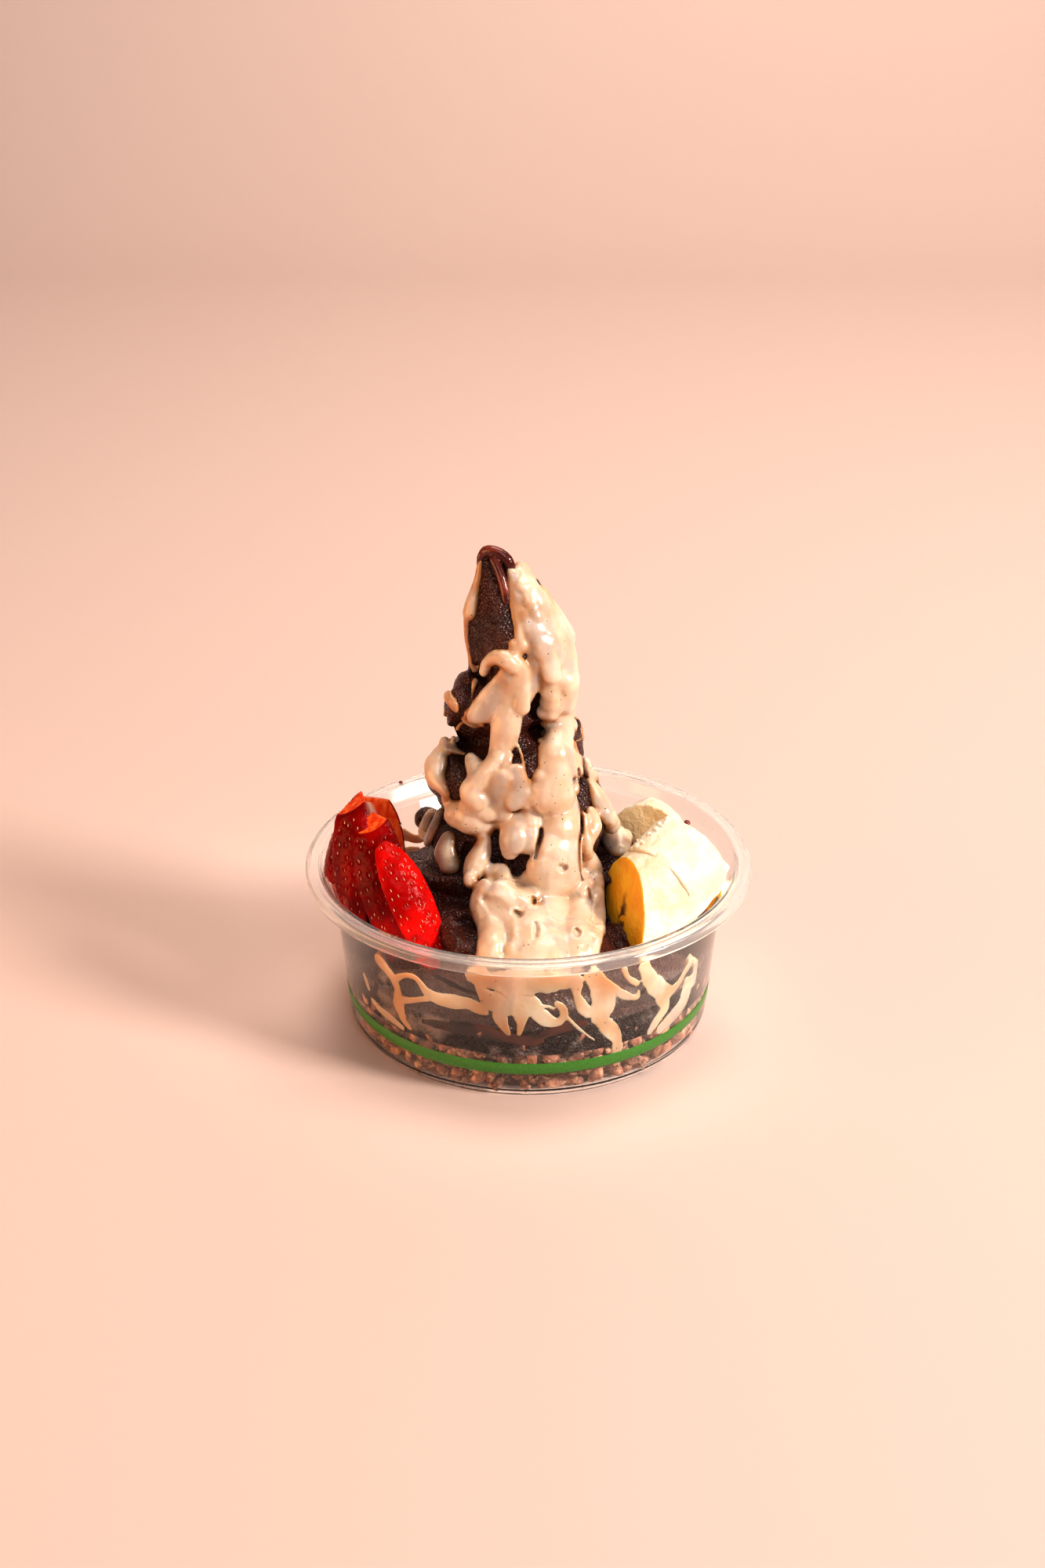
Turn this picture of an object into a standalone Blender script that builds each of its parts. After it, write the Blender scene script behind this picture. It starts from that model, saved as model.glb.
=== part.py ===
"""Acai bowl: a clear plant-plastic deli bowl with granola at the bottom, a tall soft-serve swirl of
acai on it, thick nut butter poured over the swirl, and cut strawberry and banana at its sides."""

import math
import random

import bmesh
import bpy
import numpy as np
from mathutils import Matrix, Vector
from mathutils.bvhtree import BVHTree

MM = 0.001
GAP = 0.35 * MM  # air kept between pieces that touch

# Bowl: a thermoformed shell with a wide turned lip and a stacking shoulder
RIM_RADIUS = 60 * MM
BOWL_HEIGHT = 46 * MM
SHELL = 0.6 * MM
LIP_INNER_RADIUS = 55.4 * MM
LIP_SKIRT = 3.2 * MM
SHOULDER_RADIUS = 52.7 * MM
SHOULDER_HEIGHT = 41 * MM
FOOT_RADIUS = 49.3 * MM
FOOT_HEIGHT = 3 * MM
STAND_OUTER_RADIUS = 47.5 * MM
STAND_INNER_RADIUS = 44.4 * MM
PANEL_RISE = 0.8 * MM  # how far the middle of the base stands off the table
BOWL_STEPS = 48

# Granola: a packed layer whose clusters show at the wall
GRANOLA_TOP = 13.8 * MM
CORE_INSET = 2.6 * MM
CLUSTER_SIZE = 4.8 * MM
CLUSTER_ROWS = (3.9 * MM, 7.7 * MM, 11.4 * MM)
CLUSTERS_IN_ROW = 38
GRANOLA_SEED = 11

# Acai: one soft-serve rope, laid as a ring in the bowl and then coiled up to a leaning spire
ACAI_BOTTOM = GRANOLA_TOP + GAP
SWIRL_TOP = 134.3 * MM
NOZZLE_LOBES = 6
NOZZLE_DEPTH = 0.1
COIL_PITCH = 20 * MM
COIL_LEFT_HEIGHT = 69 * MM  # the coil passes the left side at this height
COIL_HEIGHTS = (36 * MM, 50 * MM, 69 * MM, 89 * MM, 96 * MM)
COIL_RADII = (23 * MM, 16 * MM, 11 * MM, 7 * MM, 2 * MM)
COIL_SHIFTS = (0 * MM, -1 * MM, -5.5 * MM, -4.5 * MM, -2 * MM)
COIL_ROPE = 10.6 * MM
COIL_STEPS = 90
ROUND_END = ((0.5, 0.85), (0.85, 0.5), (0.98, 0.15))  # reach and radius, over the rope's radius
SPIRE = (  # shift to the right, height, rope radius
    (-1.5 * MM, 92 * MM, 12.5 * MM),
    (-1.8 * MM, 99 * MM, 13.6 * MM),
    (-2.8 * MM, 106 * MM, 13.4 * MM),
    (-4.6 * MM, 113 * MM, 11.8 * MM),
    (-6.2 * MM, 120 * MM, 9.8 * MM),
    (-8.2 * MM, 126 * MM, 6.9 * MM),
    (-9.4 * MM, 130 * MM, 5 * MM),
    (-9.6 * MM, 132.6 * MM, 3 * MM),
)
RING_RADIUS = 36.5 * MM
RING_ROPE = 14.5 * MM
RING_FRONT_HEIGHT = 28.5 * MM
RING_BACK_HEIGHT = 17 * MM
RING_STEPS = 48
MOUND = ((0, 46), (16, 42), (30, 34), (38, 26), (51, 22), (50, 12), (0, 12))  # radius, height, in mm
TIP_CURL = (  # the bead that folds over at the very top: path and radius, in mm
    ((-9.5, 0, 131.5), (-7, -2, 132.8), (-4.8, -2.5, 132.3), (-4, -2.8, 130.6), (-5.2, -3, 129)),
    1.8,
)
FOLDS = (  # short loops of rope that lie over the ring, at the front left: path and radius, in mm
    (((-31, -8, 40), (-25, -19, 43), (-14, -25, 44), (-2, -26, 42)), 7.5),
    (((-38, -16, 35), (-28, -31, 36.5), (-16, -37, 35.5), (-6, -36, 34)), 8.5),
)
KNOB = (((-12, 8, 42), (-20, 12, 45.5), (-28, 15, 48.5)), 3.6)  # rounded rope end at the back, left
ACAI_VOXEL = 1.15 * MM
ACAI_TRIANGLES = 4600

# Nut butter: strands poured from the serving side, as (across, height, width) on the bowl's middle
# plane, laid on the swirl along the line of sight from SERVER. The back gets drips by a rule.
SERVER = Vector((0, -521, 318)) * MM
BUTTER_STRANDS = (
    ((-13, 129, 2), (-14, 123, 3), (-14.8, 116.5, 5)),
    ((-3.5, 127, 5), (-1, 119, 8), (0.5, 110, 10), (3, 101, 9), (1, 93, 7)),
    ((2, 121, 6), (6, 112, 9), (9.4, 103, 9), (9.6, 92, 8), (8.4, 82, 8), (7, 72, 9), (6.5, 62, 10)),
    ((-12, 100, 3), (-7.3, 103.5, 5), (-3, 101, 5)),
    ((-1, 100, 7), (-7, 94.5, 8), (-14, 87, 6)),
    ((1, 95, 7), (-1.5, 88, 7), (-4.2, 80, 7), (-8, 71, 8), (-14, 64.5, 9), (-18, 58, 11)),
    ((-20.5, 92, 4), (-21.5, 84, 4), (-22.5, 77, 5), (-24.5, 71, 8), (-23, 64, 6), (-24, 55, 5)),
    ((-24, 55, 5), (-27, 51, 4.5), (-30, 47.5, 4)),
    ((-12, 76, 5), (-13.5, 69, 6)),
    ((-14.5, 60, 12), (-13, 56, 10)),
    ((-21, 52, 7), (-21.4, 43.5, 8)),
    ((-12.5, 50, 5), (-14.5, 42, 6), (-15, 38, 6)),
    ((0, 62, 8), (-3, 55, 8), (-4, 47, 6)),
    ((6.5, 62, 12), (7, 52, 13), (6, 42, 13), (4, 33, 14), (3, 22, 15)),
    ((14, 65, 4), (15, 53, 5), (17.7, 42, 7), (18.5, 31, 9), (16, 20, 9)),
    ((17, 67, 5), (20, 60, 6), (23, 53.5, 7), (26, 49, 7)),
    ((-13, 36, 8), (-10, 28, 10), (-11, 19, 8)),
    ((-6, 35, 10), (8, 36, 10), (17, 35, 8)),
    ((-8, 24, 12), (5, 23, 14), (13, 23, 12)),
)
BUTTER_HEIGHT = 0.34  # height of a strand over its width
BUTTER_STEP = 1.6 * MM
BACK_DRIPS = 9
BACK_DRIP_TOP = 96  # in mm, as the strands are
BACK_DRIP_SPREAD = 26
BUTTER_SEED = 4

# Strawberry: lengthwise wedges fanned against the left wall.
# name: stem end, tip, way the skin faces, berry width, half of the wedge's angle in degrees
STRAWBERRIES = {
    "strawberry_front": ((-36.5, -20, 61.5), (-26, -38, 31), (0.62, -0.75, 0.2), 24, 45),
    "strawberry_middle": ((-38.5, -13, 65.5), (-36, -33, 34), (-0.1, -0.95, 0.25), 27, 52),
    "strawberry_left": ((-40.5, -6, 69.5), (-43, -26, 35), (-0.55, -0.8, 0.2), 25, 50),
    "strawberry_far": ((-45, 0, 62), (-45, -17, 34), (-0.9, -0.4, 0.2), 21, 60),
    "strawberry_back": ((-40.5, -3, 65), (-31.5, -13, 40), (0.3, 0.85, 0.3), 22, 60),
}
BERRY_SIDES = 18
BERRY_RINGS = 11
BERRY_CORE = 0.08  # how far the two cuts meet from the berry's axis, over its width

# Banana: peeled chunks cut across at a slant, piled at the right wall.
# name: middle of the near face, middle of the far face, near face normal, far face normal, diameter
BANANAS = {
    "banana_front": (
        (25.4, -26, 45),
        (34.5, -19.5, 47.5),
        (-0.9, -0.42, -0.06),
        (0.72, 0.66, 0.2),
        28.4,
    ),
    "banana_middle": (
        (34.6, -19.3, 48.7),
        (43.5, -8.5, 50.5),
        (-0.72, -0.66, -0.2),
        (0.6, 0.78, 0.2),
        28,
    ),
    "banana_back": ((29.5, 8, 46), (37, 16, 45), (-0.62, -0.72, 0.3), (0.65, 0.72, -0.1), 25),
    "banana_side": ((46, -12, 42), (49, -4, 43), (-0.3, -0.9, -0.2), (0.3, 0.93, 0.1), 16),
}
ROUND_RESOLUTION = 7
BANANA_BOW = 1.5 * MM
BANANA_RINGS = 6

COLOURS = {  # colour, roughness, alpha
    "clear_bowl": ((0.93, 0.94, 0.92), 0.08, 0.35),
    "granola": ((0.2, 0.1, 0.08), 0.85, 1),
    "acai": ((0.05, 0.017, 0.02), 0.55, 1),
    "strawberry": ((0.55, 0.02, 0.015), 0.3, 1),
    "banana": ((0.85, 0.66, 0.36), 0.55, 1),
}


def material(name):
    colour, roughness, alpha = COLOURS[name]
    made = bpy.data.materials.get(name) or bpy.data.materials.new(name)
    made.use_nodes = True
    shader = made.node_tree.nodes["Principled BSDF"]
    shader.inputs["Base Color"].default_value = (*colour, 1)
    shader.inputs["Roughness"].default_value = roughness
    shader.inputs["Metallic"].default_value = 0
    shader.inputs["Alpha"].default_value = alpha
    return made


def clear_scene():
    for thing in list(bpy.data.objects):
        bpy.data.objects.remove(thing, do_unlink=True)


def collection(name):
    made = bpy.data.collections.new(name)
    bpy.context.scene.collection.children.link(made)
    return made


def add_object(name, data, home, finish=None):
    made = bpy.data.objects.new(name, data)
    home.objects.link(made)
    if finish:
        data.materials.append(material(finish))
    return made


def mesh_from(shape, name):
    """The bmesh as a mesh, with faces pointing outwards."""
    bmesh.ops.recalc_face_normals(shape, faces=shape.faces)
    mesh = bpy.data.meshes.new(name)
    shape.to_mesh(mesh)
    shape.free()
    return mesh


def evaluated_mesh(source, name):
    """The object's shape with its modifiers applied, in world space, with doubled corners welded."""
    bpy.context.view_layer.update()
    graph = bpy.context.evaluated_depsgraph_get()
    mesh = bpy.data.meshes.new_from_object(source.evaluated_get(graph))
    mesh.transform(source.matrix_world)
    shape = bmesh.new()
    shape.from_mesh(mesh)
    bpy.data.meshes.remove(mesh)
    bmesh.ops.remove_doubles(shape, verts=shape.verts, dist=0.002 * MM)
    return mesh_from(shape, name)


def turned(name, profile, steps, home, finish=None):
    """A closed body of revolution from (radius, height) points that start and end on the axis."""
    mesh = bpy.data.meshes.new(name)
    edges = [(i, i + 1) for i in range(len(profile) - 1)]
    mesh.from_pydata([(radius, 0, height) for radius, height in profile], edges, [])
    body = add_object(name, mesh, home, finish)
    screw = body.modifiers.new("Turn", "SCREW")
    screw.steps = steps
    screw.render_steps = steps
    screw.use_merge_vertices = True
    screw.merge_threshold = 0.01 * MM
    return body


def wall_outside(height):
    share = (height - FOOT_HEIGHT) / (SHOULDER_HEIGHT - FOOT_HEIGHT)
    return FOOT_RADIUS + share * (SHOULDER_RADIUS - FOOT_RADIUS)


def wall_inside(height):
    return wall_outside(height) - SHELL


def bowl(home):
    """The shell's profile runs from the middle of the floor, up inside, over the lip and down outside."""
    lip = BOWL_HEIGHT
    inside = [
        (0, PANEL_RISE + SHELL),
        (STAND_INNER_RADIUS - 1 * MM, PANEL_RISE + SHELL),
        (STAND_INNER_RADIUS + 0.3 * MM, SHELL),
        (STAND_OUTER_RADIUS - 0.6 * MM, SHELL),
        (wall_inside(FOOT_HEIGHT), FOOT_HEIGHT),
        (wall_inside(SHOULDER_HEIGHT), SHOULDER_HEIGHT),
        (LIP_INNER_RADIUS - 1.6 * MM, SHOULDER_HEIGHT + 1.1 * MM),
    ]
    over_lip = [
        (LIP_INNER_RADIUS, lip - 0.5 * MM),
        (LIP_INNER_RADIUS + 0.8 * MM, lip),
        (LIP_INNER_RADIUS + 2 * MM, lip - 0.5 * MM),
        (RIM_RADIUS - 1.1 * MM, lip - 0.1 * MM),
        (RIM_RADIUS, lip - 1.1 * MM),
        (RIM_RADIUS, lip - LIP_SKIRT),
    ]
    under_lip = [
        (RIM_RADIUS - SHELL, lip - LIP_SKIRT),
        (RIM_RADIUS - SHELL, lip - 1.3 * MM),
        (RIM_RADIUS - 1.4 * MM, lip - 0.7 * MM),
        (LIP_INNER_RADIUS + 2 * MM, lip - 1.1 * MM),
        (LIP_INNER_RADIUS + 0.9 * MM, lip - 0.7 * MM),
    ]
    outside = [
        (LIP_INNER_RADIUS - 1.1 * MM, SHOULDER_HEIGHT + 0.7 * MM),
        (wall_outside(SHOULDER_HEIGHT), SHOULDER_HEIGHT - 0.4 * MM),
        (FOOT_RADIUS, FOOT_HEIGHT),
        (STAND_OUTER_RADIUS + 0.9 * MM, 0.9 * MM),
        (STAND_OUTER_RADIUS, 0),
        (STAND_INNER_RADIUS, 0),
        (STAND_INNER_RADIUS - 1.4 * MM, PANEL_RISE),
        (0, PANEL_RISE),
    ]
    shell = turned("bowl", inside + over_lip + under_lip + outside, BOWL_STEPS, home, "clear_bowl")
    shell.data.shade_smooth()


def granola(home, cutters):
    """The packed core, with the clusters that lie against the wall fused on."""
    draw = random.Random(GRANOLA_SEED)
    floor = PANEL_RISE + SHELL + GAP
    core_top = wall_inside(GRANOLA_TOP) - CORE_INSET
    core = turned(
        "granola_core",
        [
            (0, GRANOLA_TOP),
            (core_top, GRANOLA_TOP),
            (core_top - 0.5 * MM, GRANOLA_TOP * 0.5),
            (STAND_INNER_RADIUS - 1.6 * MM, floor),
            (0, floor),
        ],
        BOWL_STEPS,
        cutters,
    )
    pieces = bpy.data.collections.new("granola_clusters")
    cutters.children.link(pieces)
    for row, height in enumerate(CLUSTER_ROWS):
        for place in range(CLUSTERS_IN_ROW):
            step = place + 0.5 * (row % 2) + draw.uniform(-0.25, 0.25)
            turn = step / CLUSTERS_IN_ROW * math.tau
            size = Vector([CLUSTER_SIZE / 2 * draw.uniform(0.85, 1.15) for _ in range(3)])
            size.y *= draw.uniform(1, 1.4)
            spot = height + draw.uniform(-0.5, 0.5) * MM
            spot = min(max(spot, floor + size.z), GRANOLA_TOP - size.z)
            out = wall_inside(spot - size.z) - GAP - size.x * draw.uniform(1, 1.25)
            shape = bmesh.new()
            bmesh.ops.create_icosphere(shape, subdivisions=1, radius=1)
            turned_by = Matrix.Rotation(draw.uniform(0, math.tau), 4, "X")
            placed = Matrix.Rotation(turn, 4, "Z") @ Matrix.Translation((out, 0, spot))
            bmesh.ops.transform(
                shape, matrix=placed @ Matrix.Diagonal((*size, 1)) @ turned_by, verts=shape.verts
            )
            add_object(f"cluster_{row}_{place}", mesh_from(shape, "cluster"), pieces)
    join = core.modifiers.new("Clusters", "BOOLEAN")
    join.operation = "UNION"
    join.operand_type = "COLLECTION"
    join.collection = pieces
    join.solver = "MANIFOLD"
    mesh = evaluated_mesh(core, "granola")
    for thing in [core, *pieces.objects]:
        bpy.data.objects.remove(thing, do_unlink=True)
    bpy.data.collections.remove(pieces)
    add_object("granola", mesh, home, "granola")


def nozzle_section(home):
    """The lobed outline of the soft-serve nozzle, one unit in radius."""
    curve = bpy.data.curves.new("nozzle", "CURVE")
    curve.dimensions = "2D"
    points = NOZZLE_LOBES * 6
    spline = curve.splines.new("POLY")
    spline.points.add(points - 1)
    for i, point in enumerate(spline.points):
        turn = i / points * math.tau
        radius = 1 - NOZZLE_DEPTH * (1 - abs(math.cos(turn * NOZZLE_LOBES / 2)))
        point.co = (radius * math.cos(turn), radius * math.sin(turn), 0, 1)
    spline.use_cyclic_u = True
    return add_object("nozzle", curve, home)


def rope(points, home, section=None):
    """A closed tube mesh along (place, radius) points, as an object."""
    curve = bpy.data.curves.new("rope", "CURVE")
    curve.dimensions = "3D"
    spline = curve.splines.new("POLY")
    spline.points.add(len(points) - 1)
    for point, (place, radius) in zip(spline.points, points):
        point.co = (*place, 1)
        point.radius = radius
    if section:
        curve.bevel_mode = "OBJECT"
        curve.bevel_object = section
    else:
        curve.bevel_depth = 1
        curve.bevel_resolution = ROUND_RESOLUTION
    curve.use_fill_caps = True
    tube = add_object("rope", curve, home)
    mesh = evaluated_mesh(tube, "rope")
    bpy.data.objects.remove(tube, do_unlink=True)
    return add_object("rope", mesh, home)


def rounded_end(points):
    """Adds a short taper past the last point, so that a rope ends round."""
    (before, _), (last, radius) = points[-2:]
    way = (last - before).normalized()
    return points + [(last + way * radius * ahead, radius * share) for ahead, share in ROUND_END]


def swirl_points():
    """The coil, from the ring in the bowl up into the spire and its blunt tip."""
    points = []
    low, high = COIL_HEIGHTS[0], SPIRE[0][1]
    for i in range(COIL_STEPS):
        height = low + (high - low) * i / COIL_STEPS
        turn = math.pi + (height - COIL_LEFT_HEIGHT) / COIL_PITCH * math.tau
        radius = np.interp(height, COIL_HEIGHTS, COIL_RADII)
        shift = np.interp(height, COIL_HEIGHTS, COIL_SHIFTS)
        place = Vector((shift + radius * math.cos(turn), radius * math.sin(turn), height))
        points.append((place, COIL_ROPE))
    points += [(Vector((shift, 0, height)), radius) for shift, height, radius in SPIRE]
    return points


def ring_points():
    """The first turn of rope, high at the front of the bowl and low at the back."""
    points = []
    for i in range(RING_STEPS + 1):
        turn = i / RING_STEPS * math.tau
        lean = (1 - math.sin(turn)) / 2
        height = RING_BACK_HEIGHT + (RING_FRONT_HEIGHT - RING_BACK_HEIGHT) * lean
        place = Vector((RING_RADIUS * math.cos(turn), RING_RADIUS * math.sin(turn), height))
        points.append((place, RING_ROPE))
    return points


def short_rope(path, radius):
    """Points of a short length of rope with two round ends, through a few places in millimetres."""
    rows = [Vector((*place, 1)) * MM for place in path]
    points = [(row.xyz, radius * MM) for row in spline_through(rows, 2 * MM)]
    return rounded_end(rounded_end(points[::-1])[::-1])


def joined(things, name, home):
    """The meshes of several objects as one object, with the objects removed."""
    shape = bmesh.new()
    for thing in things:
        shape.from_mesh(thing.data)
        bpy.data.objects.remove(thing, do_unlink=True)
    mesh = bpy.data.meshes.new(name)
    shape.to_mesh(mesh)
    shape.free()
    return add_object(name, mesh, home)


def fused(body, voxel, name, home, triangles=0):
    """The body's overlapping shells as one skin, rounded a little and thinned to a number of faces."""
    remesh = body.modifiers.new("Fuse", "REMESH")
    remesh.mode = "VOXEL"
    remesh.voxel_size = voxel
    smooth = body.modifiers.new("Round", "SMOOTH")
    smooth.factor = 0.5
    smooth.iterations = 1
    mesh = evaluated_mesh(body, name)
    bpy.data.objects.remove(body, do_unlink=True)
    skin = add_object(name, mesh, home)
    if triangles:
        thin = skin.modifiers.new("Thin", "DECIMATE")
        thin.ratio = triangles / (2 * len(mesh.polygons))
    return skin


def spline_through(rows, step):
    """Points evenly along a smooth curve through the rows."""
    rows = [2 * rows[0] - rows[1], *rows, 2 * rows[-1] - rows[-2]]
    found = []
    for a, b, c, d in zip(rows, rows[1:], rows[2:], rows[3:]):
        count = max(2, round((c - b).length / step))
        for i in range(count):
            t = i / count
            bend = 2 * a - 5 * b + 4 * c - d
            twist = 3 * (b - c) + d - a
            found.append(0.5 * (2 * b + (c - a) * t + bend * t**2 + twist * t**3))
    return found + [rows[-2]]


def drop(place, normal, width):
    """One flattened ball of butter on the swirl's skin."""
    shape = bmesh.new()
    bmesh.ops.create_icosphere(shape, subdivisions=2, radius=1)
    flat = Matrix.Diagonal((width / 2, width / 2, width * BUTTER_HEIGHT, 1))
    turn = normal.to_track_quat("Z", "Y").to_matrix().to_4x4()
    bmesh.ops.transform(shape, matrix=Matrix.Translation(place) @ turn @ flat, verts=shape.verts)
    return shape


def strand(path, tree, eye):
    """Meshes of the drops of one strand, each where the sight line from eye meets the skin."""
    drops = []
    rows = [Vector(row) * MM for row in path]
    for across, height, width in spline_through(rows, BUTTER_STEP):
        way = (Vector((across, 0, height)) - eye).normalized()
        place, normal, _, _ = tree.ray_cast(eye, way)
        if place:
            drops.append(drop(place, normal, width))
    return drops


def butter(tree):
    """All the drops: the strands of the serving side, and drips down the back by a rule."""
    drops = []
    for rows in BUTTER_STRANDS:
        drops += strand(rows, tree, SERVER)
    draw = random.Random(BUTTER_SEED)
    behind = Vector((SERVER.x, -SERVER.y, SERVER.z))
    for i in range(BACK_DRIPS):
        across = (i / (BACK_DRIPS - 1) - 0.5) * BACK_DRIP_SPREAD
        top = BACK_DRIP_TOP - abs(across) * 1.4 + draw.uniform(-6, 12)
        fall = draw.uniform(22, 40)
        sway = draw.uniform(-3, 3)
        rows = (
            (across * 0.7, top, 4),
            (across * 0.85 + sway, top - fall * 0.5, 6),
            (across + sway, top - fall, 8),
        )
        drops += strand(rows, tree, behind)
    return drops


def food_reach(cutters):
    """The space that food may fill: inside the wall, above the granola and over the lip."""
    above = SWIRL_TOP + 20 * MM
    lip_top = BOWL_HEIGHT + GAP
    profile = [
        (0, above),
        (RIM_RADIUS, above),
        (RIM_RADIUS, lip_top),
        (LIP_INNER_RADIUS + 0.6 * MM, lip_top),
        (LIP_INNER_RADIUS - 2.6 * MM, SHOULDER_HEIGHT + 1 * MM),
        (wall_inside(SHOULDER_HEIGHT) - GAP, SHOULDER_HEIGHT),
        (wall_inside(ACAI_BOTTOM) - GAP, ACAI_BOTTOM),
        (0, ACAI_BOTTOM),
    ]
    reach = turned("food_reach", profile, BOWL_STEPS, cutters)
    reach.hide_render = True
    reach.display_type = "WIRE"
    return reach


def keep_clear(source, cutters):
    """A copy of a piece, grown by the gap, that cuts its neighbours."""
    shape = bmesh.new()
    shape.from_mesh(source.data)
    shape.normal_update()
    for vert in shape.verts:
        vert.co += vert.normal * GAP * vert.calc_shell_factor()
    cutter = add_object(f"clear_of_{source.name}", mesh_from(shape, source.name), cutters)
    cutter.hide_render = True
    cutter.display_type = "WIRE"
    return cutter


def cut(body, cutter, operation="DIFFERENCE"):
    modifier = body.modifiers.new(cutter.name, "BOOLEAN")
    modifier.operation = operation
    modifier.object = cutter
    modifier.solver = "EXACT"


def acai(home, cutters, reach, fruit_cutters):
    """The soft-serve and the butter on it, fitted into the bowl and round the fruit."""
    section = nozzle_section(cutters)
    ropes = [
        rope(swirl_points(), cutters, section),
        rope(ring_points(), cutters, section),
        rope(short_rope(*TIP_CURL), cutters),
        rope(short_rope(*KNOB), cutters),
    ]
    ropes += [rope(short_rope(*fold), cutters, section) for fold in FOLDS]
    bpy.data.objects.remove(section, do_unlink=True)
    profile = [(radius * MM, height * MM) for radius, height in MOUND]
    fill = turned("fill", profile, BOWL_STEPS, cutters)
    ropes.append(add_object("fill_body", evaluated_mesh(fill, "fill"), cutters))
    bpy.data.objects.remove(fill, do_unlink=True)
    plain = fused(joined(ropes, "plain", cutters), ACAI_VOXEL, "plain", cutters)
    shape = bmesh.new()
    shape.from_mesh(plain.data)
    tree = BVHTree.FromBMesh(shape)
    shape.free()
    drops = [add_object("drop", mesh_from(shape, "drop"), cutters) for shape in butter(tree)]
    whole = fused(joined([plain, *drops], "whole", cutters), ACAI_VOXEL, "whole", cutters, ACAI_TRIANGLES)
    skin = add_object("acai_swirl", evaluated_mesh(whole, "acai_swirl"), home, "acai")
    bpy.data.objects.remove(whole, do_unlink=True)
    cut(skin, reach, "INTERSECT")
    for cutter in fruit_cutters:
        cut(skin, cutter)
    skin.data.shade_smooth()


def aim(start, end, facing):
    """A matrix at the middle of start and end, with Z towards start and X as near facing as it can be."""
    up = (start - end).normalized()
    front = (facing - facing.project(up)).normalized()
    side = up.cross(front)
    turn = Matrix((front, side, up)).transposed().to_4x4()
    return Matrix.Translation((start + end) / 2) @ turn


def slice_off(shape, place, normal):
    """Cuts away what lies beyond the plane, on the side that normal points to, and closes the cut."""
    geometry = shape.verts[:] + shape.edges[:] + shape.faces[:]
    done = bmesh.ops.bisect_plane(shape, geom=geometry, plane_co=place, plane_no=normal, clear_outer=True)
    rim = [part for part in done["geom_cut"] if isinstance(part, bmesh.types.BMEdge)]
    bmesh.ops.triangle_fill(shape, edges=rim, use_beauty=True)


def strawberry(name, stem, tip, facing, width, half_angle, home):
    """A lengthwise wedge of a berry: skin on one side, two cut faces that meet near the core."""
    stem, tip = Vector(stem) * MM, Vector(tip) * MM
    length = (stem - tip).length
    shape = bmesh.new()
    bmesh.ops.create_uvsphere(shape, u_segments=BERRY_SIDES, v_segments=BERRY_RINGS, radius=1)
    for vert in shape.verts:
        share = (vert.co.z + 1) / 2
        swell = 0.62 + 0.55 * share - 0.12 * share**3
        across = swell * width * MM / 2
        vert.co = (vert.co.x * across, vert.co.y * across, vert.co.z * length / 2)
    angle = math.radians(half_angle)
    core = Vector((BERRY_CORE * width * MM, 0, 0))
    for side in (-1, 1):
        slice_off(shape, core, Vector((-math.sin(angle), side * math.cos(angle), 0)))
    bmesh.ops.transform(shape, matrix=aim(stem, tip, Vector(facing)), verts=shape.verts)
    return add_object(name, mesh_from(shape, name), home, "strawberry")


def banana(name, near, far, near_normal, far_normal, diameter, home):
    """A chunk of peeled banana, a little bowed, between two slanting cuts."""
    near, far = Vector(near) * MM, Vector(far) * MM
    way = (far - near).normalized()
    reach = diameter * MM
    start = near - way * reach
    points = []
    for i in range(BANANA_RINGS + 1):
        share = i / BANANA_RINGS
        bow = Vector((0, 0, BANANA_BOW * math.sin(math.pi * share)))
        place = start + (far + way * reach - start) * share + bow
        points.append((place, reach / 2))
    curve = rope(points, home)
    shape = bmesh.new()
    shape.from_mesh(curve.data)
    bpy.data.objects.remove(curve, do_unlink=True)
    slice_off(shape, near, Vector(near_normal).normalized())
    slice_off(shape, far, Vector(far_normal).normalized())
    return add_object(name, mesh_from(shape, name), home, "banana")


def fruit(home, cutters, reach):
    """All the cut fruit. Each piece is fitted against the ones laid before it. Returns their cutters."""
    pieces = [strawberry(name, *values, home) for name, values in STRAWBERRIES.items()]
    pieces += [banana(name, *values, home) for name, values in BANANAS.items()]
    clear = []
    for piece in pieces:
        cut(piece, reach, "INTERSECT")
        for cutter in clear:
            cut(piece, cutter)
        clear.append(keep_clear(piece, cutters))
    return clear


def main():
    clear_scene()
    home = collection("acai_bowl")
    cutters = collection("acai_bowl_cutters")
    bowl(home)
    granola(home, cutters)
    reach = food_reach(cutters)
    fruit_cutters = fruit(home, cutters, reach)
    acai(home, cutters, reach, fruit_cutters)


main()
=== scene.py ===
"""Looks of the acai bowl: a clear deli bowl with granola, a soft-serve acai swirl, nut butter and cut
fruit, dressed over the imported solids."""

import math
import random

import bmesh
import bpy
import numpy as np
from mathutils import Matrix, Vector, noise
from mathutils.bvhtree import BVHTree
from mathutils.kdtree import KDTree


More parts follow.
